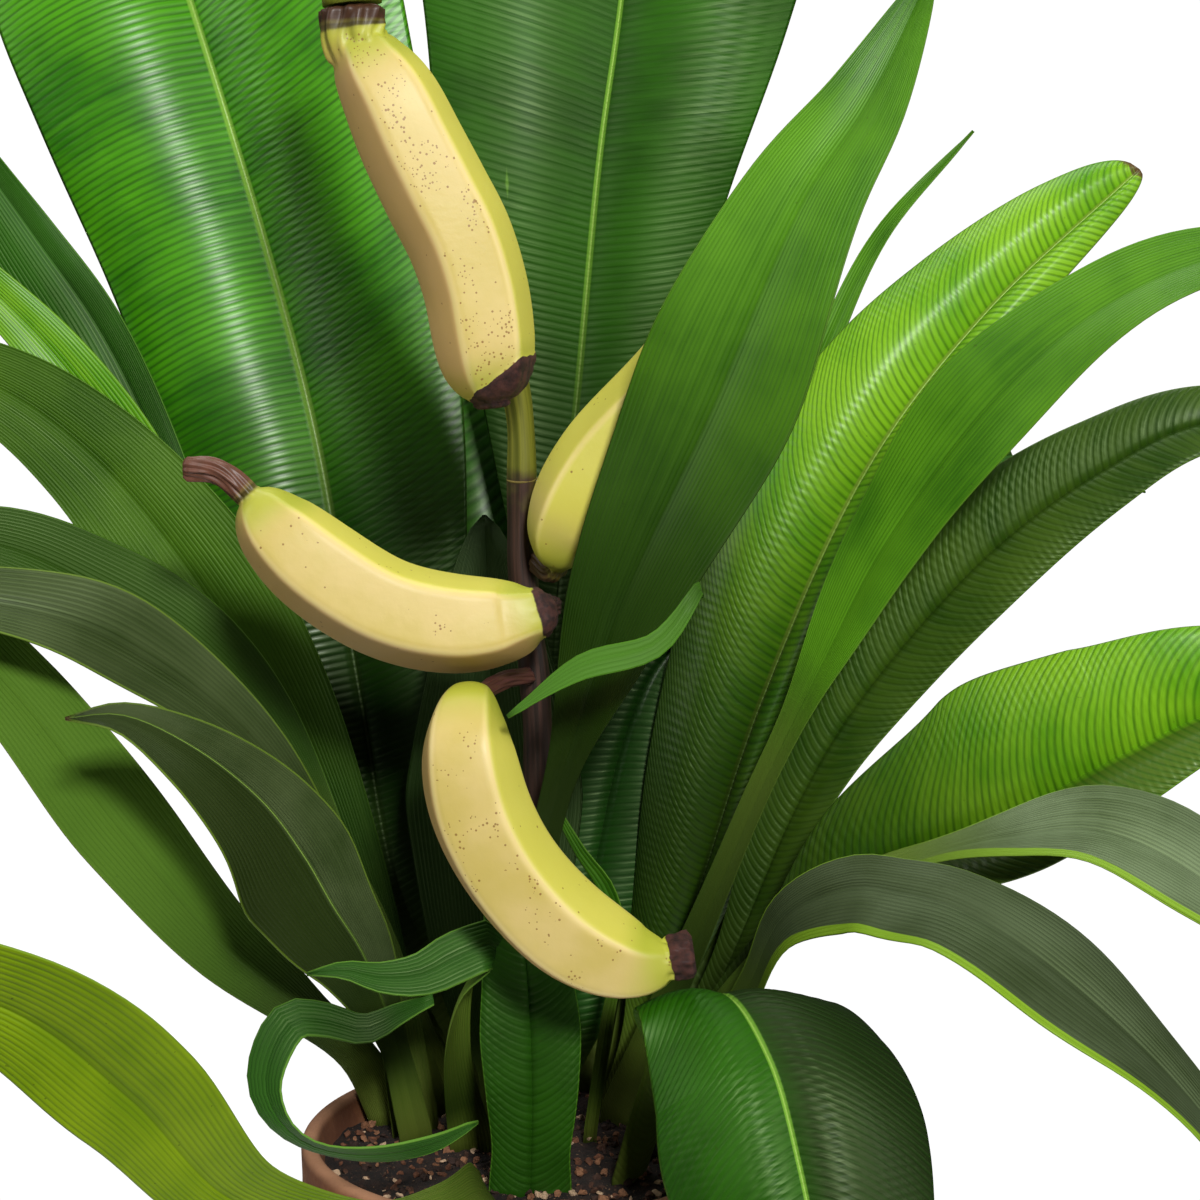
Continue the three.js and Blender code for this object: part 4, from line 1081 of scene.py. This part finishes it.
def stalk_material():
    """Fruit stalk of a banana plant: ribbed green flesh, brown and corky lower down."""
    # Fine lengthwise fibres break up the light and the corky part is darker and duller
    material, tree, shader = new_material("Banana fruit stalk, fibrous")
    s = stored(tree, "along")
    round_a, round_b = stored(tree, "round_a"), stored(tree, "round_b")
    long_way = vector_of(tree, maths(tree, "MULTIPLY", s, 2.0), round_a, round_b)
    fibre = patches(tree, long_way, 0.3)
    cloud = patches(tree, here(tree), 18 * MM)
    green = blend(tree, ramp(tree, fibre, 0.3, 0.7), linear("#4C5008"), linear("#74741E"))
    cork = maths(tree, "MULTIPLY_ADD", maths(tree, "SUBTRACT", cloud, 0.5), 0.08, s)
    brown = blend(tree, ramp(tree, fibre, 0.3, 0.7), linear("#1E120A"), linear("#3E2418"))
    colour = blend(tree, ramp(tree, cork, 0.485, 0.52), brown, green)
    colour = blend(tree, ramp(tree, s, 0.955, 0.995, 0.0, 0.75), colour, linear("#6E7A14"))
    wire(tree, shader, {
        "Base Color": colour, "Roughness": ramp(tree, fibre, 0.2, 0.8, 0.45, 0.7), "IOR": 1.45,
        "Normal": relief(tree, fibre, 0.35 * MM),
    })
    return material


SCARS_FROM = 0.5  # shares of the stalk between which its bracts left scars
SCARS_TO = 0.99


def scar_tree():
    """Geometry tree that puts a raised scar ring round the stalk at even steps of its middle line."""
    tree, inside, out = new_tree("stalk scars", [
        ("Count", "Int"), ("Thickness", "Float"), ("Material", "Material"),
    ])
    line = add(tree, "GeometryNodeMeshToCurve", None, {"Mesh": inside.outputs["Geometry"]}).outputs[0]
    points = add(tree, "GeometryNodeCurveToPoints", {"mode": "COUNT"},
                 {"Curve": line, "Count": inside.outputs["Count"]})
    ring = add(tree, "GeometryNodeCurvePrimitiveCircle", None, {"Resolution": 24, "Radius": 1.0}).outputs[0]
    wall = add(tree, "GeometryNodeCurvePrimitiveCircle", None,
               {"Resolution": 6, "Radius": inside.outputs["Thickness"]}).outputs[0]
    collar = add(tree, "GeometryNodeCurveToMesh", None, {"Curve": ring, "Profile Curve": wall}).outputs[0]
    size = add(tree, "GeometryNodeInputNamedAttribute", {"data_type": "FLOAT"}, {"Name": "size"}).outputs[0]
    tilt = add(tree, "FunctionNodeRandomValue", {"data_type": "FLOAT_VECTOR"},
               {0: (-0.12, -0.12, 0.0), 1: (0.12, 0.12, 6.28), "Seed": 4}).outputs[0]
    placed = add(tree, "GeometryNodeInstanceOnPoints", None,
                 {"Points": points.outputs["Points"], "Instance": collar,
                  "Rotation": points.outputs["Rotation"], "Scale": size}).outputs[0]
    tilted = add(tree, "GeometryNodeRotateInstances", None,
                 {"Instances": placed, "Rotation": tilt}).outputs[0]
    end_tree(tree, tilted, inside.outputs["Material"], out)
    return tree


def stalk_scars(count, thickness):
    """Rings left on the fruit stalk where its bracts fell."""
    centre, _, _ = path_of(FRUIT_STALK, STALK_ROWS + 1)
    t = np.linspace(0, 1, STALK_ROWS + 1)
    keep = (t > SCARS_FROM) & (t < SCARS_TO)
    centre, t = centre[keep], t[keep]
    size = stalk_radius(t, 0) * MM * 0.97
    mesh = bpy.data.meshes.new("scars")
    mesh.from_pydata(centre.tolist(), [(k, k + 1) for k in range(len(t) - 1)], [])
    mesh.attributes.new("size", "FLOAT", "POINT").data.foreach_set("value", size.astype(np.float32))
    piece = bpy.data.objects.new("stalk_scars", mesh)
    bpy.context.scene.collection.objects.link(piece)
    run_tree(piece, scar_tree(), {"Count": count, "Thickness": thickness, "Material": scar_material()})
    piece.data.shade_smooth()
    return piece


def scar_material():
    """Dry scar tissue on a stalk: thin brown cork."""
    # Dull brown rims that mark off the green joints of the stalk
    material, tree, shader = new_material("Bract scar, corky")
    tone = patches(tree, here(tree), 3 * MM)
    wire(tree, shader, {
        "Base Color": blend(tree, tone, linear("#4A3A16"), linear("#8A7A34")), "Roughness": 0.8,
        "Normal": relief(tree, tone, 0.3 * MM),
    })
    return material


# ---- Pot and potting mix ----

POT_SEGMENTS = 160
DRILL_SIDES = 40
WALL = 7
FLOOR = 9
RIM_BAND = 26  # height of the collar round the mouth
RIM_PROUD = 5  # the collar stands this far out from the wall
LIP_ROUND = 3.2
FOOT_ROUND = 2.5
BASE_RADIUS = 68
DRAIN_RADIUS = 6
DRAIN_COUNT = 4
DRAIN_CIRCLE = 34
MIX_GAP = 0.6  # between the potting mix and the wall


def rounded(corners, arc_steps=6):
    """Outline through (radius, height, rounding) corners, each rounded by an arc."""
    outline = []
    for k, (r, z, rounding) in enumerate(corners):
        corner = np.array([r, z], float)
        if not rounding:
            outline.append(corner)
            continue
        before = np.array(corners[k - 1][:2], float)
        after = np.array(corners[(k + 1) % len(corners)][:2], float)
        start = corner + rounding * unit(before - corner)
        end = corner + rounding * unit(after - corner)
        for step in np.linspace(0, 1, arc_steps + 1):
            outline.append((1 - step) ** 2 * start + 2 * step * (1 - step) * corner + step ** 2 * end)
    return outline


def turned(name, outline, segments, wobble=None):
    """Closed solid of revolution through (radius, height) points in mm that begin and end on the axis."""
    outline = np.array(outline, float)
    angle = np.arange(segments) * 2 * math.pi / segments
    rings = outline[1:-1]
    radius = np.repeat(rings[:, :1], segments, axis=1)
    height = np.repeat(rings[:, 1:], segments, axis=1)
    if wobble:
        radius, height = wobble(radius, height, angle)
    points = np.stack([radius * np.cos(angle), radius * np.sin(angle), height], -1).reshape(-1, 3)
    poles = [[0, 0, outline[0, 1]], [0, 0, outline[-1, 1]]]
    grid = np.arange(len(rings) * segments).reshape(len(rings), segments)
    beside = np.roll(grid, -1, axis=1)
    faces = np.stack([grid[:-1], beside[:-1], beside[1:], grid[1:]], -1).reshape(-1, 4).tolist()
    first, last = grid.size, grid.size + 1
    faces += [[first, int(b), int(a)] for a, b in zip(grid[0], beside[0])]
    faces += [[last, int(a), int(b)] for a, b in zip(grid[-1], beside[-1])]
    return new_object(name, np.vstack([points, poles]) * MM, faces)


def pot_outline(radius, height):
    """Outline of the pot from the middle of its underside, up the outside and down the inside."""
    shoulder = height - RIM_BAND
    wall_top = radius - RIM_PROUD
    slope = (wall_top - BASE_RADIUS) / shoulder
    outside = [(BASE_RADIUS + slope * z, z, 0) for z in np.linspace(12, shoulder - 6, 24)]
    mouth = radius - WALL
    inside = [(mouth + (BASE_RADIUS - WALL - mouth) * k, height + (FLOOR - height) * k, 0)
              for k in np.linspace(0.08, 0.94, 16)]
    corners = [(0, 0, 0), (30, 0, 0), (BASE_RADIUS - 5, 0, 0), (BASE_RADIUS, 0, FOOT_ROUND)] + outside
    corners += [(wall_top, shoulder, 1.5), (radius, shoulder, 2), (radius, height - 14, 0)]
    corners += [(radius, height, LIP_ROUND), (mouth, height, LIP_ROUND)] + inside
    corners += [(BASE_RADIUS - WALL, FLOOR, 3), (48, FLOOR, 0), (20, FLOOR, 0), (0, FLOOR, 0)]
    return rounded(corners)


def thrown(radius, height, angle):
    """Slight unevenness of a hand-finished wall, with the faint rings of the wheel."""
    ring = 0.18 * np.sin(height * 2 * math.pi / 6.5) * (height > 3)
    soft = 0.25 * np.sin(2 * angle + 0.7) + 0.15 * np.sin(5 * angle + height * 0.05)
    return radius + (ring + soft - 0.4) * (height > 3), height


def clay_pot(sizes):
    """The pot with its collar, rounded lip and drain holes."""
    height, radius = POT_BOX[1].z / MM, POT_BOX[1].x / MM
    piece = turned("clay_pot", pot_outline(radius, height), POT_SEGMENTS, thrown)
    drills = []
    for index in range(DRAIN_COUNT):
        turn = 2 * math.pi * (index + 0.5) / DRAIN_COUNT
        bit = [(0, -FLOOR), (DRAIN_RADIUS, -FLOOR), (DRAIN_RADIUS, 2 * FLOOR), (0, 2 * FLOOR)]
        drill = turned("drill", bit, DRILL_SIDES)
        drill.data.transform(matrix_at(DRAIN_CIRCLE * math.cos(turn), DRAIN_CIRCLE * math.sin(turn)))
        cut = piece.modifiers.new("drain hole", "BOOLEAN")
        cut.operation, cut.solver, cut.object = "DIFFERENCE", "EXACT", drill
        drills.append(drill)
    keep_result(piece)
    for drill in drills:
        bpy.data.objects.remove(drill)
    piece.data.set_sharp_from_angle(angle=math.radians(40))
    piece.data.materials.clear()
    piece.data.materials.append(clay_material(sizes))
    return piece


def matrix_at(x, y):
    """Matrix that moves by x and y in mm."""
    return Matrix.Translation((x * MM, y * MM, 0))


def clay_material(sizes):
    """Terracotta: low-fired red clay, thrown and left unglazed."""
    # Chalky and matt, blotched by damp and lime, paler at the top of its lip and darker towards its foot,
    # with fine grit
    material, tree, shader = new_material("Terracotta, unglazed")
    place = here(tree)
    height = add(tree, "ShaderNodeSeparateXYZ", None, {0: place}).outputs[2]
    cloud = patches(tree, place, 45 * MM, 5.0)
    grit = patches(tree, place, 1.6 * MM, 2.0)
    clay = blend(tree, ramp(tree, cloud, 0.35, 0.65), tuple(sizes.clay_dark), tuple(sizes.clay))
    clay = blend(tree, ramp(tree, grit, 0.45, 0.75, 0.0, 0.35), clay, linear("#6E4630"))
    bloom = ramp(tree, patches(tree, place, 22 * MM, 6.0), 0.52, 0.72, 0.0, 0.35)
    clay = blend(tree, bloom, clay, linear("#A87C5C"))
    lip = ramp(tree, maths(tree, "MULTIPLY_ADD", cloud, 5 * MM, height), 0.1785, 0.183, 0.0, 0.5)
    clay = blend(tree, lip, clay, linear("#C49370"))
    foot = ramp(tree, maths(tree, "MULTIPLY_ADD", cloud, 30 * MM, height), 0.02, 0.05, 0.45, 0.0)
    clay = blend(tree, foot, clay, linear("#7E5238"))
    bumps = maths(tree, "MULTIPLY_ADD", grit, 0.6, cloud)
    wire(tree, shader, {
        "Base Color": clay, "Roughness": ramp(tree, grit, 0.2, 0.8, 0.75, 0.95), "IOR": 1.5,
        "Normal": relief(tree, bumps, 0.3 * MM),
    })
    return material


MIX_RINGS = 90
MIX_SEGMENTS = 200


def mix_radius(z):
    """Radius of the potting mix at a height, in mm."""
    height, mouth = POT_BOX[1].z / MM, POT_BOX[1].x / MM - WALL
    return BASE_RADIUS - WALL + (mouth - BASE_RADIUS + WALL) * (z - FLOOR) / (height - FLOOR) - MIX_GAP


def potting_mix(sizes):
    """Body of the potting mix with a crumbly top."""
    top, base = SOIL_BOX[1].z / MM, SOIL_BOX[0].z / MM
    edge = mix_radius(top)
    outline = [(0, base), (mix_radius(base), base), (edge, top - 2)]
    outline += [(edge * k, top) for k in np.linspace(1, 0, MIX_RINGS)]

    def crumble(radius, height, angle):
        for j, i in zip(*np.nonzero(height > top - 1)):
            r, a = radius[j, i], angle[i]
            spot = Vector((r * math.cos(a), r * math.sin(a), 3.0))
            clod = solid_noise.fractal(spot / 9, 0.8, 2.1, 4) * sizes.crumble * 900
            height[j, i] += clod - 0.6 - 1.2 * max(0.0, r / edge - 0.93) / 0.07
        return radius, height

    piece = turned("potting_mix_body", outline, MIX_SEGMENTS, crumble)
    piece.data.materials.append(mix_material())
    return piece


def mix_material():
    """Potting mix: damp composted bark and peat, crumbled."""
    # Near black and matt, with brown fibres and a few pale grains
    material, tree, shader = new_material("Potting mix, damp bark and peat")
    place = here(tree)
    clod = patches(tree, place, 5 * MM, 6.0, 0.7)
    fleck = patches(tree, place, 1.5 * MM, 2.0)
    mix = blend(tree, ramp(tree, clod, 0.35, 0.65), linear("#0E0704"), linear("#28170E"))
    mix = blend(tree, ramp(tree, fleck, 0.66, 0.72, 0.0, 0.8), mix, linear("#A07A5A"))
    wire(tree, shader, {
        "Base Color": mix, "Roughness": 0.92,
        "Normal": relief(tree, maths(tree, "ADD", clod, fleck), 0.9 * MM),
    })
    return material


def chip_tree():
    """Geometry tree that scatters broken chips, no two alike, over a surface."""
    tree, inside, out = new_tree("scattered chips", [
        ("Density", "Float"), ("Smallest", "Float"), ("Largest", "Float"), ("Seed", "Int"),
        ("Material", "Material"),
    ])
    seed = inside.outputs["Seed"]
    points = add(tree, "GeometryNodeDistributePointsOnFaces", None,
                 {"Mesh": inside.outputs["Geometry"], "Density": inside.outputs["Density"], "Seed": seed})
    stone = add(tree, "GeometryNodeMeshIcoSphere", None, {"Radius": 0.5, "Subdivisions": 2}).outputs["Mesh"]
    size = add(tree, "FunctionNodeRandomValue", {"data_type": "FLOAT"},
               {2: inside.outputs["Smallest"], 3: inside.outputs["Largest"], "Seed": seed}).outputs[1]
    flat = add(tree, "FunctionNodeRandomValue", {"data_type": "FLOAT_VECTOR"},
               {0: (0.7, 0.5, 0.35), 1: (1.3, 1.0, 0.8), "Seed": seed}).outputs[0]
    scale = add(tree, "ShaderNodeVectorMath", {"operation": "SCALE"}, {0: flat, "Scale": size}).outputs[0]
    turn = add(tree, "FunctionNodeRandomValue", {"data_type": "FLOAT_VECTOR"},
               {0: (-0.6, -0.6, 0.0), 1: (0.6, 0.6, 6.28), "Seed": seed}).outputs[0]
    placed = add(tree, "GeometryNodeInstanceOnPoints", None,
                 {"Points": points.outputs["Points"], "Instance": stone, "Rotation": turn,
                  "Scale": scale}).outputs[0]
    tint = add(tree, "FunctionNodeRandomValue", {"data_type": "FLOAT"},
               {2: 0.0, 3: 1.0, "Seed": 9}).outputs[1]
    tinted = add(tree, "GeometryNodeStoreNamedAttribute", {"data_type": "FLOAT", "domain": "INSTANCE"},
                 {"Geometry": placed, "Name": "tint", "Value": tint}).outputs[0]
    real = add(tree, "GeometryNodeRealizeInstances", None, {0: tinted}).outputs[0]
    place = add(tree, "GeometryNodeInputPosition").outputs[0]
    dents = add(tree, "ShaderNodeTexNoise", None, {"Vector": place, "Scale": 420.0, "Detail": 1.0})
    middle = add(tree, "ShaderNodeVectorMath", {"operation": "SUBTRACT"},
                 {0: dents.outputs["Color"], 1: (0.5, 0.5, 0.5)}).outputs[0]
    push = add(tree, "ShaderNodeVectorMath", {"operation": "SCALE"},
               {0: middle, "Scale": 3.4 * MM}).outputs[0]
    broken = add(tree, "GeometryNodeSetPosition", None, {"Geometry": real, "Offset": push}).outputs[0]
    end_tree(tree, broken, inside.outputs["Material"], out)
    return tree


def loose_chips(sizes):
    """Bark, grit and baked clay chips lying on the potting mix."""
    top = SOIL_BOX[1].z / MM
    disc = turned("potting_chips", [(0, top - 0.5), (mix_radius(top) - 3, top - 0.5),
                                    (mix_radius(top) - 3, top), (0, top)], 60)
    lid = [p for p in disc.data.polygons if p.center.z > (top - 0.2) * MM]
    points = [[v.co.x, v.co.y, v.co.z] for v in disc.data.vertices]
    faces = [list(p.vertices) for p in lid]
    bpy.data.objects.remove(disc)
    disc = new_object("potting_chips", points, faces)
    run_tree(disc, chip_tree(), {
        "Density": sizes.chips_per_square, "Smallest": sizes.smallest_chip, "Largest": sizes.largest_chip,
        "Seed": sizes.seed, "Material": chip_material(),
    })
    return disc


CHIP_COLOURS = ["#2E1A10", "#4A2C1A", "#6A4028", "#3A2214", "#8A5E40", "#4E3020", "#C4A484", "#5E3822",
                "#7A5034", "#341E12"]


def chip_material():
    """Loose chips: broken bark, grit and baked clay."""
    # Each chip has one tone of its own, from near black to cream, and a dull broken face
    material, tree, shader = new_material("Bark and grit chips, broken")
    tones = add(tree, "ShaderNodeValToRGB", None, {"Fac": stored(tree, "tint")})
    band = tones.color_ramp
    band.interpolation = "CONSTANT"
    for index, text in enumerate(CHIP_COLOURS):
        stop = band.elements[0] if index == 0 else band.elements.new(index / len(CHIP_COLOURS))
        stop.color = linear(text)
    band.elements[-1].color = linear(CHIP_COLOURS[-1])
    grain = patches(tree, here(tree), 1.2 * MM)
    colour = blend(tree, ramp(tree, grain, 0.35, 0.7, 0.0, 0.4), tones.outputs[0], linear("#20120A"))
    wire(tree, shader, {"Base Color": colour, "Roughness": 0.85, "Normal": relief(tree, grain, 0.3 * MM)})
    return material


# ---- Stage ----

CAMERA_PLACE = (0.031, -1.001, 0.560)
CAMERA_PITCH = 82  # degrees up from straight down
LENS = 70  # mm
AIM = (0.0, 0.0, 0.45)  # the lights point here

# Soft boxes of the studio: place, width and height in metres, and power as a share of the key light
SOFT_BOXES = {
    "key": ((0.38, -1.85, 1.38), 0.26, 0.26, 1.0),
    "right": ((1.5, -0.85, 1.25), 0.6, 1.0, 0.26),
    "left": ((-1.75, -0.6, 1.3), 0.6, 1.2, 0.24),
    "top": ((-0.2, 0.5, 2.1), 1.2, 0.8, 0.35),
}


def paper_material():
    """White seamless studio paper."""
    # An even, matt white under the plant that only its shadow marks
    material, tree, shader = new_material("Studio paper, matt white")
    tone = patches(tree, here(tree), 400 * MM)
    pale = blend(tree, tone, linear("#F4F4F2"), linear("#FAFAF9"))
    wire(tree, shader, {"Base Color": pale, "Roughness": 0.9})
    return material


def white_room(camera_light, room_light):
    """World that looks white and lights the plant softly."""
    world = bpy.data.worlds.new("White room")
    world.use_nodes = True
    tree = world.node_tree
    tree.nodes.clear()
    seen = add(tree, "ShaderNodeBackground", None, {"Color": (1, 1, 1, 1), "Strength": camera_light})
    lit = add(tree, "ShaderNodeBackground", None, {"Color": (1, 1, 1, 1), "Strength": room_light})
    path = add(tree, "ShaderNodeLightPath").outputs["Is Camera Ray"]
    mixed = add(tree, "ShaderNodeMixShader", None, {0: path, 1: lit.outputs[0], 2: seen.outputs[0]})
    add(tree, "ShaderNodeOutputWorld", None, {"Surface": mixed.outputs[0]})
    bpy.context.scene.world = world


def soft_box(name, place, width, height, power):
    """Rectangular soft light that points at the plant."""
    light = bpy.data.lights.new(name, "AREA")
    light.shape = "RECTANGLE"
    light.size, light.size_y, light.energy = width, height, power
    lamp = bpy.data.objects.new(name, light)
    lamp.location = place
    lamp.rotation_euler = (Vector(AIM) - Vector(place)).to_track_quat("-Z", "Y").to_euler()
    bpy.context.scene.collection.objects.link(lamp)


def build_stage(look):
    """Floor, lights and camera."""
    half = look.floor_size / 2
    corners = [[-half, -half, 0], [half, -half, 0], [half, half, 0], [-half, half, 0]]
    floor = new_object("studio_floor", corners, [[0, 1, 2, 3]])
    floor.data.materials.append(paper_material())
    white_room(look.backdrop, look.room_light)
    for name, (place, width, height, share) in SOFT_BOXES.items():
        soft_box(name, place, width, height, look.key_power * share)
    camera = bpy.data.objects.new("camera", bpy.data.cameras.new("camera"))
    camera.data.lens = LENS
    camera.location = CAMERA_PLACE
    camera.rotation_euler = (math.radians(CAMERA_PITCH), 0, 0)
    bpy.context.scene.collection.objects.link(camera)
    bpy.context.scene.camera = camera
    bpy.context.scene.view_settings.view_transform = "Standard"


# ---- Add-on ----

def size(name, description, metres, **more):
    """Length that a user can change."""
    return FloatProperty(name=name, description=description, default=metres, min=0, unit="LENGTH",
                         precision=5, **more)


def colour(name, description, text):
    """Colour that a user can change."""
    return FloatVectorProperty(name=name, description=description, subtype="COLOR", size=4, min=0, max=1,
                               default=linear(text))


class LeafSettings(bpy.types.PropertyGroup):
    """Sizes and colours of the leaves."""
    cross_vein_spacing: size("Cross vein spacing", "Between two veins of a wide leaf", 3.6 * MM)
    line_spacing: size("Line spacing", "Between two lines of a narrow leaf", 2.0 * MM)
    vein_slip: size("Vein slip", "How far cross veins wander", 0.5 * MM)
    vein_height: size("Vein height", "Height of the bands between cross veins", 0.4 * MM)
    line_height: size("Line height", "Height of the bands between lengthwise lines", 0.14 * MM)
    unevenness: FloatProperty(name="Unevenness", description="Difference between one band and the next",
                              default=1.2, min=0, subtype="FACTOR")
    seed: IntProperty(name="Seed", description="Start of the random ripples", default=5)


for key, look in LOOKS.items():
    for tone in ("deep", "light"):
        LeafSettings.__annotations__[f"{key}_{tone}"] = colour(
            f"{key.capitalize()}, {tone}", f"{look['name']}: its {tone} patches", look[tone])


class FruitSettings(bpy.types.PropertyGroup):
    """Colours of the fruit and details of its stalk."""
    cream: colour("Cream", "Middle facets of the peel", "#C9B462")
    lemon: colour("Lemon", "Upper facets of the peel", "#CFC850")
    green: colour("Green", "Both ends of the peel", "#A8AE30")
    scar_count: IntProperty(name="Scars", description="Rings on the stalk", default=7, min=2)
    scar_size: FloatProperty(name="Scar size", description="Thickness of a ring in shares of the radius",
                             default=0.09, min=0, subtype="FACTOR")


class PotSettings(bpy.types.PropertyGroup):
    """Colours of the pot."""
    clay: colour("Clay", "Dry terracotta", "#83512C")
    clay_dark: colour("Damp clay", "Darker patches of the terracotta", "#5C341E")


class MixSettings(bpy.types.PropertyGroup):
    """Sizes of the potting mix and its chips."""
    crumble: size("Crumble", "Height of the clods on top", 2.2 * MM)
    smallest_chip: size("Smallest chip", "Width of the smallest chip", 1.6 * MM)
    largest_chip: size("Largest chip", "Width of the largest chip", 5.2 * MM)
    chips_per_square: FloatProperty(name="Chips", description="Chips on a square metre", default=30000, min=0)
    seed: IntProperty(name="Seed", description="Start of the random scatter", default=11)


class StageSettings(bpy.types.PropertyGroup):
    """Light and floor of the studio."""
    floor_size: size("Floor size", "Side of the square floor", 0.7)
    key_power: FloatProperty(name="Key power", description="Power of the key light", default=42, min=0,
                             unit="POWER")
    room_light: FloatProperty(name="Room light", description="Strength of the room's soft light",
                              default=0.06, min=0)
    backdrop: FloatProperty(name="Backdrop", description="Brightness of the background", default=1.05, min=0)


class BANANA_OT_leaves(bpy.types.Operator):
    """Build every leaf with its midrib and veins"""
    bl_idname = "banana.leaves"
    bl_label = "Build leaves"

    def execute(self, context):
        sizes = context.scene.banana_leaves
        tree = vein_tree()
        paints = {}
        for key, look in LOOKS.items():
            deep, light = (tuple(getattr(sizes, f"{key}_{tone}")) for tone in ("deep", "light"))
            paints[key] = leaf_material(look, deep, light)
        for index, (name, leaf) in enumerate(all_leaves().items()):
            piece = leaf_blade(name.replace("leaf_", "blade_"), leaf, sizes, sizes.seed + index)
            height = sizes.vein_height if leaf["cross"] else sizes.line_height
            run_tree(piece, tree, {"Height": height, "Unevenness": sizes.unevenness,
                                   "Material": paints[leaf["look"]]})
            seat(piece, "leaf", name)
        return {"FINISHED"}


class BANANA_OT_fruit(bpy.types.Operator):
    """Build the four fruits"""
    bl_idname = "banana.fruit"
    bl_label = "Build fruit"

    def execute(self, context):
        for seed, (name, fruit) in enumerate(FRUITS.items()):
            seat(fruit_peel(name.replace("fruit_", "peel_"), fruit, seed), "fruit", name)
        return {"FINISHED"}


class BANANA_OT_fruit_stalk(bpy.types.Operator):
    """Build the stalk that carries the fruit"""
    bl_idname = "banana.fruit_stalk"
    bl_label = "Build fruit stalk"

    def execute(self, context):
        sizes = context.scene.banana_fruit
        seat(fruit_stalk(), "stalk", "fruit_stalk")
        seat(stalk_scars(sizes.scar_count, sizes.scar_size), "stalk")
        return {"FINISHED"}


class BANANA_OT_pot(bpy.types.Operator):
    """Build the clay pot"""
    bl_idname = "banana.pot"
    bl_label = "Build pot"

    def execute(self, context):
        seat(clay_pot(context.scene.banana_pot), "clay", "pot")
        return {"FINISHED"}


class BANANA_OT_potting_mix(bpy.types.Operator):
    """Build the potting mix and its loose chips"""
    bl_idname = "banana.potting_mix"
    bl_label = "Build potting mix"

    def execute(self, context):
        sizes = context.scene.banana_mix
        seat(potting_mix(sizes), "potting_mix", "soil")
        seat(loose_chips(sizes), "potting_mix")
        return {"FINISHED"}


class BANANA_OT_stage(bpy.types.Operator):
    """Build the floor, the lights and the camera"""
    bl_idname = "banana.stage"
    bl_label = "Build stage"

    def execute(self, context):
        build_stage(context.scene.banana_stage)
        return {"FINISHED"}


SETTINGS = {"leaves": LeafSettings, "fruit": FruitSettings, "pot": PotSettings, "mix": MixSettings,
            "stage": StageSettings}
OPERATORS = (BANANA_OT_leaves, BANANA_OT_fruit, BANANA_OT_fruit_stalk, BANANA_OT_pot, BANANA_OT_potting_mix,
             BANANA_OT_stage)


class BANANA_PT_panel(bpy.types.Panel):
    """Sizes, colours and build buttons of the plant"""
    bl_idname = "BANANA_PT_panel"
    bl_label = "Banana plant"
    bl_space_type = "VIEW_3D"
    bl_region_type = "UI"
    bl_category = "Banana plant"

    def draw(self, context):
        for key, group in SETTINGS.items():
            box = self.layout.box()
            for name in group.__annotations__:
                box.prop(getattr(context.scene, f"banana_{key}"), name)
        for operator in OPERATORS:
            self.layout.operator(operator.bl_idname)


CLASSES = (*SETTINGS.values(), *OPERATORS, BANANA_PT_panel)


def register():
    """Register the classes and the settings."""
    for kind in CLASSES:
        bpy.utils.register_class(kind)
    for key, group in SETTINGS.items():
        setattr(bpy.types.Scene, f"banana_{key}", PointerProperty(type=group))


def unregister():
    """Take the settings and the classes away."""
    for key in SETTINGS:
        delattr(bpy.types.Scene, f"banana_{key}")
    for kind in reversed(CLASSES):
        bpy.utils.unregister_class(kind)


def main():
    """Build the plant and its stage."""
    register()
    bpy.ops.banana.leaves()
    bpy.ops.banana.fruit()
    bpy.ops.banana.fruit_stalk()
    bpy.ops.banana.pot()
    bpy.ops.banana.potting_mix()
    bpy.ops.banana.stage()
    bpy.context.view_layer.update()


if __name__ == "__main__":
    main()
